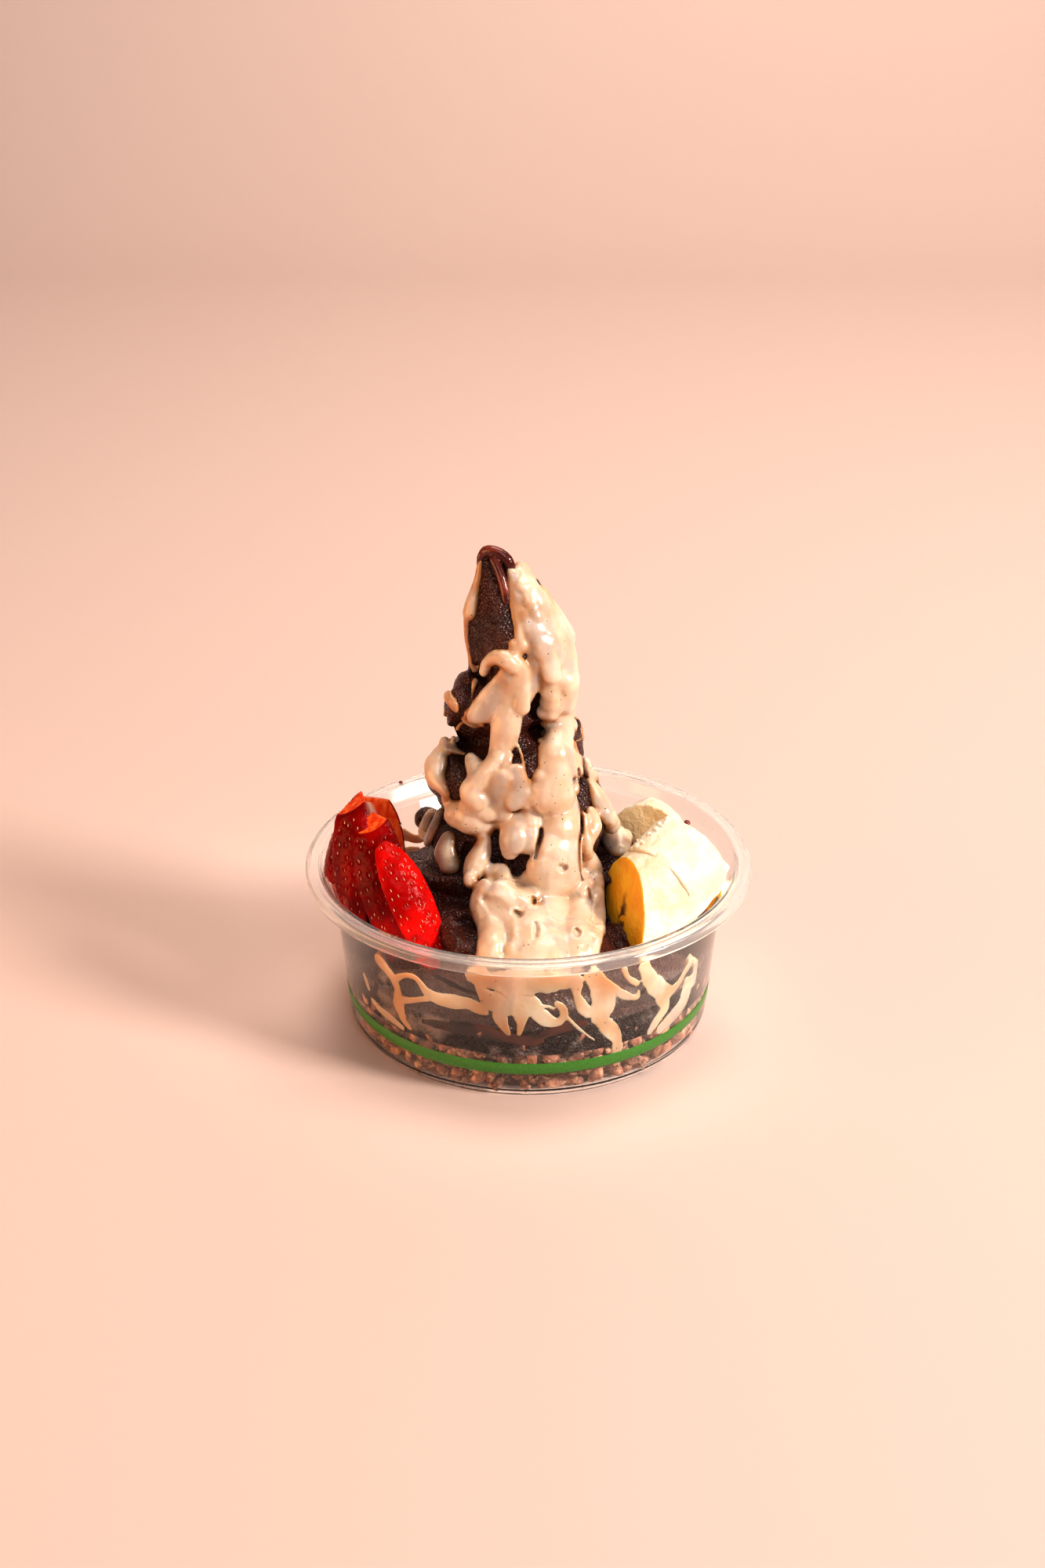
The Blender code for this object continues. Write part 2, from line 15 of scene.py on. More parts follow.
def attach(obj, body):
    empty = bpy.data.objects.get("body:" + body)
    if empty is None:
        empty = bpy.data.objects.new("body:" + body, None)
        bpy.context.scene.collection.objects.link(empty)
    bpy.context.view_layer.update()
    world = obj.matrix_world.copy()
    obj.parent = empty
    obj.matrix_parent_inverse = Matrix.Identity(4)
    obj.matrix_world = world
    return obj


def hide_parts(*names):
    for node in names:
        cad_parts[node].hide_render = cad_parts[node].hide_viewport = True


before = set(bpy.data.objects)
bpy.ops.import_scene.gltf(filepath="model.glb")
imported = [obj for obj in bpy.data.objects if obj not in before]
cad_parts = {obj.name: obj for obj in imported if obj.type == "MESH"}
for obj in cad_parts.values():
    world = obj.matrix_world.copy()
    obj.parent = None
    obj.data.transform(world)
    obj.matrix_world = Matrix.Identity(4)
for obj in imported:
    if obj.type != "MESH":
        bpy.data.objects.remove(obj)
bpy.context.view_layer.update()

# Table and lamps: a pale table that runs up into a plain wall, a large warm lamp at the right, a cool
# window light in front, a low warm glow off the table and a wash on the wall, as on a shop counter.
MM = 0.001
TABLE_WIDTH = 2.4
TABLE_DEPTH = 0.9
TABLE_COLOUR = (0.69, 0.535, 0.47, 1)
WALL_BEND = 0.35
WALL_TOP = 1.6
BEND_STEPS = 12
ROOM_COLOUR = (1, 0.84, 0.74, 1)
ROOM_GLOW = 0.1
VIEW_GAMMA = 0.82
LAMPS = (  # name, place, what it faces, width in metres, watts, colour
    ("warm_key", (1.1, -0.52, 0.76), (0, 0, 0.06), 0.38, 23, (1, 0.92, 0.86)),
    ("window", (0.1, -0.8, 0.85), (0, 0, 0.08), 0.5, 2.6, (0.84, 0.92, 1)),
    ("table_glow", (-0.5, -0.2, 0.1), (0, 0, 0.06), 0.4, 2.2, (1, 0.52, 0.24)),
    ("wall_wash", (0.2, 0.35, 1.2), (0.1, 0.9, 0.2), 0.9, 13.4, (1, 0.9, 0.84)),
)


def new_finish(name, roughness):
    """A material with one Principled shader, and its tree and shader."""
    made = bpy.data.materials.new(name)
    made.use_nodes = True
    shader = made.node_tree.nodes["Principled BSDF"]
    shader.inputs["Roughness"].default_value = roughness
    return made, made.node_tree, shader


def table_and_wall():
    """One sheet: flat under the bowl, bent up behind it."""
    rows = [(-TABLE_DEPTH, 0)]
    for i in range(BEND_STEPS + 1):
        turn = i / BEND_STEPS * math.pi / 2
        rows.append((TABLE_DEPTH + WALL_BEND * math.sin(turn), WALL_BEND * (1 - math.cos(turn))))
    rows.append((TABLE_DEPTH + WALL_BEND, WALL_TOP))
    verts = [(side * TABLE_WIDTH, y, z) for y, z in rows for side in (-1, 1)]
    faces = [(2 * i, 2 * i + 1, 2 * i + 3, 2 * i + 2) for i in range(len(rows) - 1)]
    mesh = bpy.data.meshes.new("table_and_wall")
    mesh.from_pydata(verts, [], faces)
    mesh.shade_smooth()
    table_finish, _, shader = new_finish("pale_table", 0.6)
    shader.inputs["Base Color"].default_value = TABLE_COLOUR
    mesh.materials.append(table_finish)
    made = bpy.data.objects.new("table_and_wall", mesh)
    bpy.context.scene.collection.objects.link(made)


def lamp(name, place, target, width, watts, colour):
    data = bpy.data.lights.new(name, "AREA")
    data.shape = "DISK"
    data.size = width
    data.energy = watts
    data.color = colour
    made = bpy.data.objects.new(name, data)
    made.location = place
    made.rotation_euler = (Vector(target) - Vector(place)).to_track_quat("-Z", "Y").to_euler()
    bpy.context.scene.collection.objects.link(made)


table_and_wall()
for values in LAMPS:
    lamp(*values)
world = bpy.data.worlds.new("room")
world.use_nodes = True
world.node_tree.nodes["Background"].inputs["Color"].default_value = ROOM_COLOUR
world.node_tree.nodes["Background"].inputs["Strength"].default_value = ROOM_GLOW
bpy.context.scene.world = world
bpy.context.scene.view_settings.view_transform = "Standard"
bpy.context.scene.view_settings.gamma = VIEW_GAMMA

# Camera: a 50 mm lens a little over half a metre away, at the eye of whoever serves the bowl and looks
# down on it from the front.
SERVER = Vector((0, -521, 318)) * MM
LOOK_DOWN = 0.4494
ROLL = 0.003
camera = bpy.data.objects.new("camera", bpy.data.cameras.new("camera"))
camera.location = SERVER
camera.rotation_euler = (math.pi / 2 - LOOK_DOWN, 0, ROLL)
camera.data.lens = 50
camera.data.sensor_width = 36
camera.data.clip_start = 0.01
bpy.context.scene.collection.objects.link(camera)
bpy.context.scene.camera = camera

# Bowl: thermoformed from a thin sheet of clear plant plastic. The lip is rolled over and beaded, a
# shoulder under it lets bowls stack, and the base has a standing ring round a raised panel.
RIM_RADIUS = 60 * MM
BOWL_HEIGHT = 46 * MM
SHELL = 0.6 * MM
LIP_INNER_RADIUS = 55.4 * MM
LIP_SKIRT = 3.2 * MM
SHOULDER_RADIUS = 52.7 * MM
SHOULDER_HEIGHT = 41 * MM
FOOT_RADIUS = 49.3 * MM
FOOT_HEIGHT = 3 * MM
STAND_OUTER_RADIUS = 47.5 * MM
STAND_INNER_RADIUS = 44.4 * MM
PANEL_RISE = 0.8 * MM
BOWL_STEPS = 192
LIP_CLARITY = 0.93


def wall_outside(height):
    share = (height - FOOT_HEIGHT) / (SHOULDER_HEIGHT - FOOT_HEIGHT)
    return FOOT_RADIUS + share * (SHOULDER_RADIUS - FOOT_RADIUS)


def wall_inside(height):
    return wall_outside(height) - SHELL


def rounded(outline, radius, steps=4):
    """The outline with each inner corner turned into a small arc."""
    points = [Vector(point) for point in outline]
    made = [points[0]]
    for before, corner, after in zip(points, points[1:], points[2:]):
        start = corner + (before - corner).normalized() * min(radius, (before - corner).length * 0.45)
        end = corner + (after - corner).normalized() * min(radius, (after - corner).length * 0.45)
        for i in range(steps + 1):
            share = i / steps
            made.append(start * (1 - share) ** 2 + corner * 2 * share * (1 - share) + end * share**2)
    return made + [points[-1]]


def lathe(name, outline, steps, looped=False):
    """A body turned from (radius, height) points. It closes at the axis, or on itself if looped."""
    verts, rings, faces = [], [], []
    for radius, height in outline:
        rings.append((len(verts), radius < 1e-7))
        count = 1 if radius < 1e-7 else steps
        for i in range(count):
            turn = i / steps * math.tau
            verts.append((radius * math.cos(turn), radius * math.sin(turn), height))
    pairs = list(zip(rings, rings[1:])) + ([(rings[-1], rings[0])] if looped else [])
    for (first, first_pole), (second, second_pole) in pairs:
        for i in range(steps):
            j = (i + 1) % steps
            corners = [first] if first_pole else [first + i, first + j]
            corners += [second] if second_pole else [second + j, second + i]
            faces.append(corners)
    mesh = bpy.data.meshes.new(name)
    mesh.from_pydata(verts, [], faces)
    shape = bmesh.new()
    shape.from_mesh(mesh)
    bmesh.ops.recalc_face_normals(shape, faces=shape.faces)
    shape.to_mesh(mesh)
    shape.free()
    mesh.shade_smooth()
    return mesh


def add_piece(name, mesh, *finishes):
    """A piece of the served bowl, riding on its one body."""
    made = bpy.data.objects.new(name, mesh)
    bpy.context.scene.collection.objects.link(made)
    for one in finishes:
        mesh.materials.append(one)
    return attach(made, "root")


def set_inputs(tree, made, inputs):
    """Sets a node's inputs. A value is a number, a colour or another node's output."""
    for socket, value in inputs.items():
        if isinstance(value, bpy.types.NodeSocket):
            tree.links.new(value, made.inputs[socket])
        else:
            made.inputs[socket].default_value = value


def node(tree, kind, inputs=None, **settings):
    """A new node with these settings and inputs."""
    made = tree.nodes.new(kind)
    for name, value in settings.items():
        setattr(made, name, value)
    set_inputs(tree, made, inputs or {})
    return made


def on_piece(tree):
    """Places on the piece itself, which every pattern is fixed to."""
    return node(tree, "ShaderNodeTexCoord").outputs["Object"]


def stored(tree, name):
    """The numbers stored on the mesh under this name."""
    return node(tree, "ShaderNodeAttribute", attribute_name=name).outputs["Fac"]


def feature_noise(tree, size, detail=2.0, stretch=(1, 1, 1)):
    """A noise whose features are about this size in metres, fixed to the piece."""
    inputs = {"Vector": on_piece(tree), "Scale": stretch}
    place = node(tree, "ShaderNodeMapping", inputs).outputs["Vector"]
    inputs = {"Vector": place, "Scale": 1 / size, "Detail": detail}
    return node(tree, "ShaderNodeTexNoise", inputs).outputs["Fac"]


def remap(tree, value, low, high, to_low=0.0, to_high=1.0):
    """Value from low..high to to_low..to_high, held at both ends."""
    inputs = {"Value": value, "From Min": low, "From Max": high, "To Min": to_low, "To Max": to_high}
    return node(tree, "ShaderNodeMapRange", inputs, interpolation_type="SMOOTHSTEP").outputs["Result"]


def mix_colour(tree, share, first, second):
    """First colour where share is 0, second where it is 1. A colour is a tuple or a socket."""
    first, second = ((*one, 1) if isinstance(one, tuple) else one for one in (first, second))
    made = node(tree, "ShaderNodeMix", data_type="RGBA")
    set_inputs(tree, made, {"Factor": share, 6: first, 7: second})
    return made.outputs[2]


def product(tree, first, second):
    return node(tree, "ShaderNodeMath", {0: first, 1: second}, operation="MULTIPLY").outputs[0]


def relief(tree, shader, *layers):
    """Bumps the shader's surface by (height socket, depth in metres) layers."""
    bump = None
    for height, depth in layers:
        inputs = {"Height": height, "Distance": depth}
        if bump:
            inputs["Normal"] = bump.outputs["Normal"]
        bump = node(tree, "ShaderNodeBump", inputs)
    tree.links.new(bump.outputs["Normal"], shader.inputs["Normal"])


def clear_plastic():
    """Clear sheet that lets lamplight through to the food."""
    made, tree, shader = new_finish("clear_plant_plastic", 0.03)
    height = node(tree, "ShaderNodeSeparateXYZ", {"Vector": on_piece(tree)}).outputs["Z"]
    inputs = {
        "Base Color": (0.985, 0.99, 0.98, 1),
        "IOR": 1.45,
        "Specular IOR Level": 0.13,
        "Roughness": remap(tree, height, 40 * MM, 42 * MM, 0.02, 0.1),
        "Transmission Weight": remap(tree, height, 40.5 * MM, 42 * MM, 1, LIP_CLARITY),
    }
    set_inputs(tree, shader, inputs)
    relief(tree, shader, (feature_noise(tree, 14 * MM, 1.0, (1, 1, 0.4)), 0.1 * MM))
    through = node(tree, "ShaderNodeBsdfTransparent").outputs["BSDF"]
    to_lamp = node(tree, "ShaderNodeLightPath").outputs["Is Shadow Ray"]
    either = node(tree, "ShaderNodeMixShader", {"Fac": to_lamp, 1: shader.outputs["BSDF"], 2: through})
    tree.links.new(either.outputs["Shader"], tree.nodes["Material Output"].inputs["Surface"])
    return made


def bowl_outline():
    """From the middle of the floor, up the inside, over the beaded lip and down the outside."""
    lip = BOWL_HEIGHT
    floor = rounded(
        [
            (0, PANEL_RISE + SHELL),
            (STAND_INNER_RADIUS - 1 * MM, PANEL_RISE + SHELL),
            (STAND_INNER_RADIUS + 0.3 * MM, SHELL),
            (STAND_OUTER_RADIUS - 0.6 * MM, SHELL),
            (wall_inside(FOOT_HEIGHT), FOOT_HEIGHT),
            (wall_inside(SHOULDER_HEIGHT), SHOULDER_HEIGHT),
        ],
        1.2 * MM,
    )
    shoulder_and_lip = rounded(
        [
            (wall_inside(SHOULDER_HEIGHT), SHOULDER_HEIGHT),
            (LIP_INNER_RADIUS - 1.6 * MM, SHOULDER_HEIGHT + 1.1 * MM),
            (LIP_INNER_RADIUS, lip - 0.5 * MM),
            (LIP_INNER_RADIUS + 0.8 * MM, lip),
            (LIP_INNER_RADIUS + 2 * MM, lip - 0.5 * MM),
            (RIM_RADIUS - 1.1 * MM, lip - 0.1 * MM),
            (RIM_RADIUS, lip - 1.1 * MM),
            (RIM_RADIUS, lip - LIP_SKIRT),
            (RIM_RADIUS - SHELL, lip - LIP_SKIRT),
            (RIM_RADIUS - SHELL, lip - 1.3 * MM),
            (RIM_RADIUS - 1.4 * MM, lip - 0.7 * MM),
            (LIP_INNER_RADIUS + 2 * MM, lip - 1.1 * MM),
            (LIP_INNER_RADIUS + 0.9 * MM, lip - 0.7 * MM),
            (LIP_INNER_RADIUS - 1.1 * MM, SHOULDER_HEIGHT + 0.7 * MM),
            (wall_outside(SHOULDER_HEIGHT), SHOULDER_HEIGHT - 0.4 * MM),
        ],
        0.5 * MM,
    )
    outside = rounded(
        [
            (wall_outside(SHOULDER_HEIGHT), SHOULDER_HEIGHT - 0.4 * MM),
            (FOOT_RADIUS, FOOT_HEIGHT),
            (STAND_OUTER_RADIUS + 0.9 * MM, 0.9 * MM),
            (STAND_OUTER_RADIUS, 0),
            (STAND_INNER_RADIUS, 0),
            (STAND_INNER_RADIUS - 1.4 * MM, PANEL_RISE),
            (0, PANEL_RISE),
        ],
        0.9 * MM,
    )
    return floor + shoulder_and_lip[1:] + outside[1:]


bowl = add_piece("clear_bowl", lathe("clear_bowl", bowl_outline(), BOWL_STEPS), clear_plastic())
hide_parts("bowl")

# Stripe: one narrow ring of green ink, printed on the outside of the clear wall near the foot. It is
# bare of words.
STRIPE_LOW = 7.9 * MM
STRIPE_HIGH = 11.3 * MM
INK = 0.05 * MM


def stripe_ink():
    made, tree, shader = new_finish("green_ink", 0.3)
    worn = remap(tree, feature_noise(tree, 0.5 * MM, 3.0), 0.3, 0.7)
    ink = mix_colour(tree, worn, (0.05, 0.2, 0.022), (0.075, 0.27, 0.035))
    set_inputs(tree, shader, {"Base Color": ink})
    relief(tree, shader, (feature_noise(tree, 0.3 * MM, 1.0), 0.01 * MM))
    return made


stripe_outline = [
    (wall_outside(STRIPE_LOW) + INK * 0.2, STRIPE_LOW),
    (wall_outside(STRIPE_LOW) + INK, STRIPE_LOW + INK),
    (wall_outside(STRIPE_HIGH) + INK, STRIPE_HIGH - INK),
    (wall_outside(STRIPE_HIGH) + INK * 0.2, STRIPE_HIGH),
]
stripe = add_piece("green_stripe", lathe("green_stripe", stripe_outline, BOWL_STEPS, True), stripe_ink())

# Granola: crisp cocoa oat clusters poured in first and packed flat. They are irregular flat flakes and
# puffs of 3 to 5 mm, pressed against the wall and the clear floor, over a plain core.
GRANOLA_TOP = 13.8 * MM
GRANOLA_FLOOR = PANEL_RISE + SHELL
CORE_INSET = 1.5 * MM
FLAKE = 7.4 * MM
FLAKE_SPACING = 3 * MM
FLAKE_CLIMB = 6.5 * MM
HEAP_SWING = 5.5 * MM
FLAKE_LUMPS = 1.1 * MM
LUMP_SIZE = 1.7 * MM
FLAKE_DENSITY = 3e5
SMALLEST_FLAKE = (0.55, 0.45, 0.3)
LARGEST_FLAKE = (1.1, 0.85, 0.5)
FOOT_INSIDE = (46.6 * MM, 47.2 * MM)
LIP_ROOM = 1.2 * MM
GRANOLA_SEED = 11


def granola_finish():
    made, tree, shader = new_finish("cocoa_granola", 0.7)
    broad = remap(tree, feature_noise(tree, 5 * MM, 3.0), 0.35, 0.65)
    fine = remap(tree, feature_noise(tree, 1.1 * MM, 4.0), 0.42, 0.7)
    husk = remap(tree, feature_noise(tree, 2.6 * MM, 2.0), 0.58, 0.7)
    baked = mix_colour(tree, stored(tree, "tone"), (0.05, 0.013, 0.006), (0.44, 0.19, 0.115))
    cocoa = mix_colour(tree, remap(tree, broad, 0.2, 1, 0, 0.6), baked, (0.22, 0.08, 0.042))
    dusted = mix_colour(tree, remap(tree, fine, 0, 1, 0, 0.6), cocoa, (0.58, 0.34, 0.22))
    body = mix_colour(tree, husk, dusted, (0.56, 0.34, 0.2))
    set_inputs(tree, shader, {"Base Color": body})
    relief(tree, shader, (feature_noise(tree, 0.9 * MM, 4.0), 0.5 * MM))
    return made


def new_tree(name, taken, given, sizes):
    """A mesh tree that takes and gives one shape, and the identifiers of its named sizes."""
    tree = bpy.data.node_groups.new(name, "GeometryNodeTree")
    tree.interface.new_socket(taken, in_out="INPUT", socket_type="NodeSocketGeometry")
    tree.interface.new_socket(given, in_out="OUTPUT", socket_type="NodeSocketGeometry")
    names = {}
    for label, kind in sizes.items():
        socket = tree.interface.new_socket(label, in_out="INPUT", socket_type="NodeSocket" + kind)
        names[label] = socket.identifier
    return tree, tree.nodes.new("NodeGroupInput").outputs, names


def painted(tree, shape, finish):
    """Ends a mesh tree: the shape in one finish."""
    paint = node(tree, "GeometryNodeSetMaterial", {"Geometry": shape, "Material": finish})
    tree.links.new(paint.outputs["Geometry"], tree.nodes.new("NodeGroupOutput").inputs[0])


def granola_tree(finish):
    """Scatters lumpy flakes over the core. Sizes and the seed are its inputs."""
    sizes = {"Flake size": "Float", "Spacing": "Float", "Lumps": "Float", "Seed": "Int"}
    tree, start, names = new_tree("granola_flakes", "Core", "Flakes", sizes)
    seed = {"Seed": start["Seed"]}
    spread = {"Mesh": start["Core"], "Distance Min": start["Spacing"], **seed}
    spread["Density Max"] = FLAKE_DENSITY
    scatter = node(tree, "GeometryNodeDistributePointsOnFaces", spread, distribute_method="POISSON")
    flake = node(tree, "GeometryNodeMeshIcoSphere", {"Radius": 0.5, "Subdivisions": 2})
    between = {0: SMALLEST_FLAKE, 1: LARGEST_FLAKE, **seed}
    size = node(tree, "FunctionNodeRandomValue", between, data_type="FLOAT_VECTOR").outputs[0]
    inputs = {0: size, "Scale": start["Flake size"]}
    size = node(tree, "ShaderNodeVectorMath", inputs, operation="SCALE").outputs["Vector"]
    any_way = {1: (math.tau, math.tau, math.tau), **seed}
    turn = node(tree, "FunctionNodeRandomValue", any_way, data_type="FLOAT_VECTOR").outputs[0]
    inputs = {"Points": scatter.outputs["Points"], "Instance": flake.outputs["Mesh"]}
    place = node(tree, "GeometryNodeInstanceOnPoints", {**inputs, "Rotation": turn, "Scale": size})
    shade = node(tree, "FunctionNodeRandomValue", seed, data_type="FLOAT")
    shade = next(out for out in shade.outputs if out.enabled)
    inputs = {"Geometry": place.outputs["Instances"], "Name": "tone", "Value": shade}
    tone = node(tree, "GeometryNodeStoreNamedAttribute", inputs, data_type="FLOAT", domain="INSTANCE")
    real = node(tree, "GeometryNodeRealizeInstances", {"Geometry": tone.outputs["Geometry"]})
    lumps = node(tree, "ShaderNodeTexNoise", {"Scale": 1 / LUMP_SIZE}).outputs["Color"]
    inputs = {0: lumps, 1: (0.5, 0.5, 0.5)}
    centred = node(tree, "ShaderNodeVectorMath", inputs, operation="SUBTRACT").outputs["Vector"]
    inputs = {0: centred, "Scale": start["Lumps"]}
    push = node(tree, "ShaderNodeVectorMath", inputs, operation="SCALE").outputs["Vector"]
    move = node(tree, "GeometryNodeSetPosition", {"Geometry": real.outputs["Geometry"], "Offset": push})
    painted(tree, move.outputs["Geometry"], finish)
    return tree, names


def plain_mesh(source, name):
    """The evaluated shape of an object as a mesh of its own. The object is removed."""
    bpy.context.view_layer.update()
    graph = bpy.context.evaluated_depsgraph_get()
    mesh = bpy.data.meshes.new_from_object(source.evaluated_get(graph))
    mesh.name = name
    bpy.data.objects.remove(source, do_unlink=True)
    return mesh


def helper(name, mesh):
    made = bpy.data.objects.new(name, mesh)
    bpy.context.scene.collection.objects.link(made)
    return made


def corners_of(mesh, kind="co"):
    """The places of a mesh's corners as rows of three, or their outward ways for kind normal."""
    values = np.empty(len(mesh.vertices) * 3, np.float32)
    mesh.vertices.foreach_get(kind, values)
    return values.reshape(-1, 3).astype(float)


def set_corners(mesh, places):
    mesh.vertices.foreach_set("co", places.astype(np.float32).ravel())
    mesh.update()


def store(mesh, **values):
    """Keeps numbers on the mesh's corners, for its finish to read by name."""
    for name, numbers in values.items():
        numbers = np.asarray(numbers, np.float32)
        mesh.attributes.new(name, "FLOAT", "POINT").data.foreach_set("value", numbers)


def held_inside(mesh, lowest, highest, reach=0.12 * MM):
    """Presses what stands past the clear wall or floor flat against it, reaching just into the sheet."""
    places = corners_of(mesh)
    places[:, 2] = np.clip(places[:, 2], lowest, highest)
    height = places[:, 2]
    foot = np.interp(height, (0, SHELL, FOOT_HEIGHT), (*FOOT_INSIDE, wall_inside(FOOT_HEIGHT)))
    limit = np.where(height < FOOT_HEIGHT, foot, wall_inside(height)) + reach
    limit = np.where(height > SHOULDER_HEIGHT, wall_inside(SHOULDER_HEIGHT) + LIP_ROOM, limit)
    radius = np.hypot(places[:, 0], places[:, 1])
    shrink = np.where((radius > limit) & (height < BOWL_HEIGHT), limit / np.maximum(radius, 1e-9), 1)
    places[:, :2] *= shrink[:, None]
    set_corners(mesh, places)


def granola():
    cocoa = granola_finish()
    edge = wall_inside(GRANOLA_TOP) - CORE_INSET
    outline = [
        (0, GRANOLA_TOP - 1 * MM),
        (edge - 4 * MM, GRANOLA_TOP - 1 * MM),
        (edge, GRANOLA_TOP + 0.4 * MM),
        (edge - 0.6 * MM, GRANOLA_TOP * 0.5),
        (STAND_OUTER_RADIUS - 2.4 * MM, FOOT_HEIGHT * 0.6),
        (STAND_INNER_RADIUS, GRANOLA_FLOOR + 0.9 * MM),
        (0, GRANOLA_FLOOR + 0.9 * MM),
    ]
    core = lathe("granola_core", outline, 64)
    places = corners_of(core)
    for place in places:
        if place[2] > GRANOLA_TOP:
            heap = 0.5 + noise.noise(Vector((place[0], place[1], 0)) / (9 * MM)) - place[1] * 9
            place[2] += min(max(heap, 0), 1) * HEAP_SWING
    set_corners(core, places)
    core.materials.append(cocoa)
    scatter = helper("granola_scatter", core.copy())
    tree, names = granola_tree(cocoa)
    modifier = scatter.modifiers.new("Flakes", "NODES")
    modifier.node_group = tree
    values = {"Flake size": FLAKE, "Spacing": FLAKE_SPACING, "Lumps": FLAKE_LUMPS, "Seed": GRANOLA_SEED}
    for label, value in values.items():
        modifier[names[label]] = value
    flakes = plain_mesh(scatter, "granola_flakes")
    held_inside(flakes, GRANOLA_FLOOR - 0.05 * MM, GRANOLA_TOP + FLAKE_CLIMB, 0.2 * MM)
    flakes.shade_smooth()
    for name, mesh in (("granola_core", core), ("granola_flakes", flakes)):
        piece = add_piece(name, mesh)
        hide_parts("granola")


granola()

# Acai swirl: frozen acai from a soft-serve machine, laid as a ring in the bowl and coiled up to a
# leaning spire. The star nozzle leaves ridges along the rope, and its skin is matt and finely icy, with
# pale specks that are partly frost and partly painted glints. What is pressed flat on the wall is
# darker, with frost.
ACAI_BOTTOM = 14.15 * MM
SWIRL_TOP = 134.3 * MM
NOZZLE_LOBES = 6
NOZZLE_DEPTH = 0.13
COIL_PITCH = 20 * MM
COIL_LEFT_HEIGHT = 69 * MM
COIL_HEIGHTS = (36 * MM, 50 * MM, 69 * MM, 89 * MM, 96 * MM)
COIL_RADII = (23 * MM, 16 * MM, 11 * MM, 7 * MM, 2 * MM)
COIL_SHIFTS = (0 * MM, -1 * MM, -5.5 * MM, -4.5 * MM, -2 * MM)
COIL_ROPE = 10.6 * MM
COIL_STEPS = 180
ROPE_STEP = 1.5 * MM
ROUND_END = ((0.5, 0.85), (0.85, 0.5), (0.98, 0.15))
SPIRE = (  # shift to the right, height, rope radius, in mm
    (-1.5, 92, 12.5),
    (-1.8, 99, 13.6),
    (-2.8, 106, 13.4),
    (-4.6, 113, 11.8),
    (-6.2, 120, 9.8),
    (-8.8, 126, 5.3),
    (-10.4, 129.4, 2.9),
    (-11, 131.8, 1.3),
)
RING_RADIUS = 36.5 * MM
RING_ROPE = 14.5 * MM
RING_FRONT_HEIGHT = 28.5 * MM
RING_BACK_HEIGHT = 17 * MM
RING_STEPS = 96
MOUND = ((0, 46), (16, 42), (30, 34), (38, 26), (51, 22), (50, 12), (0, 12))
FOLDS = (
    (((-31, -8, 40), (-25, -19, 43), (-14, -25, 44), (-2, -26, 42)), 7.5),
    (((-38, -16, 35), (-28, -31, 36.5), (-16, -37, 35.5), (-6, -36, 34)), 8.5),
)
KNOB = (((-12, 8, 42), (-20, 12, 45.5), (-28, 15, 48.5)), 3.6)
ACAI_RIDGES = (  # ledges, torn fins and edges as (across, height, width) in mm on the middle plane
    (0.5, ((-25, 36.5, 3), (-20, 36, 4.5), (-15, 36, 4), (-12, 35, 3))),
    (0.4, ((-22, 27.5, 3), (-18, 26.8, 4), (-15, 27, 3))),
    (0.5, ((-25, 24, 5), (-22, 20, 5), (-19, 16.5, 5))),
    (0.6, ((-20, 85, 3), (-18, 90, 5), (-16, 95, 5), (-14, 98, 4))),
    (0.6, ((12.5, 84, 3), (14.6, 83.5, 3), (15.4, 82, 2))),
    (0.6, ((14.5, 75.5, 2), (16.5, 73.5, 2.6), (16.2, 71, 2))),
    (0.5, ((13.5, 69, 2.4), (14.6, 66.5, 3))),
    (0.5, ((7.4, 116.3, 1), (9.5, 112, 1), (11.5, 107, 1))),
    (0.5, ((14, 100, 1.4), (13.7, 95, 1), (12.6, 90, 1))),
    (0.4, ((-19.5, 73.5, 3), (-18.5, 69, 5), (-18, 66, 4))),
)
ACAI_HOLLOWS = (  # gaps between the coils: depth, then (across, height, width)
    (7, ((-17.5, 80, 5), (-14.5, 80, 8), (-11.8, 80.5, 5))),
    (5, ((1.5, 83, 4), (3.5, 82.5, 5))),
    (4, ((2.8, 92, 2.5), (2.2, 88, 3.5))),
    (5, ((-2.2, 42.2, 6.5), (-1.5, 43, 5))),
    (4, ((-8.5, 49, 4.5), (-8.5, 45, 5.5), (-8.5, 43, 4))),
    (4.5, ((-26, 31, 5), (-23, 32, 8), (-19, 31.4, 9), (-15.5, 30.6, 6))),
    (5, ((-19.5, 23, 6), (-16, 22.6, 8), (-13, 21.5, 6))),
    (3, ((-16, 47, 3), (-16.4, 44.5, 3))),
    (3, ((21, 21, 3.4), (22, 17.5, 3.4))),
    (3, ((-13, 99, 3), (-10, 98, 4))),
    (6, ((20.5, 33, 6), (23, 29, 7), (26, 26, 7))),
    (6, ((22.5, 24.6, 6), (26.6, 22.6, 8), (30, 20, 6))),
    (6, ((-32, 33, 7), (-29, 26, 8), (-26.4, 19, 8), (-25, 14, 6))),
    (5, ((-41, 26, 7), (-37, 22, 8), (-33, 18, 8))),
    (8, ((20.4, 25, 4), (22.6, 21.6, 6), (24.6, 18.4, 6))),
)
ACAI_VOXEL = 0.75 * MM
CRYSTAL = 0.7 * MM


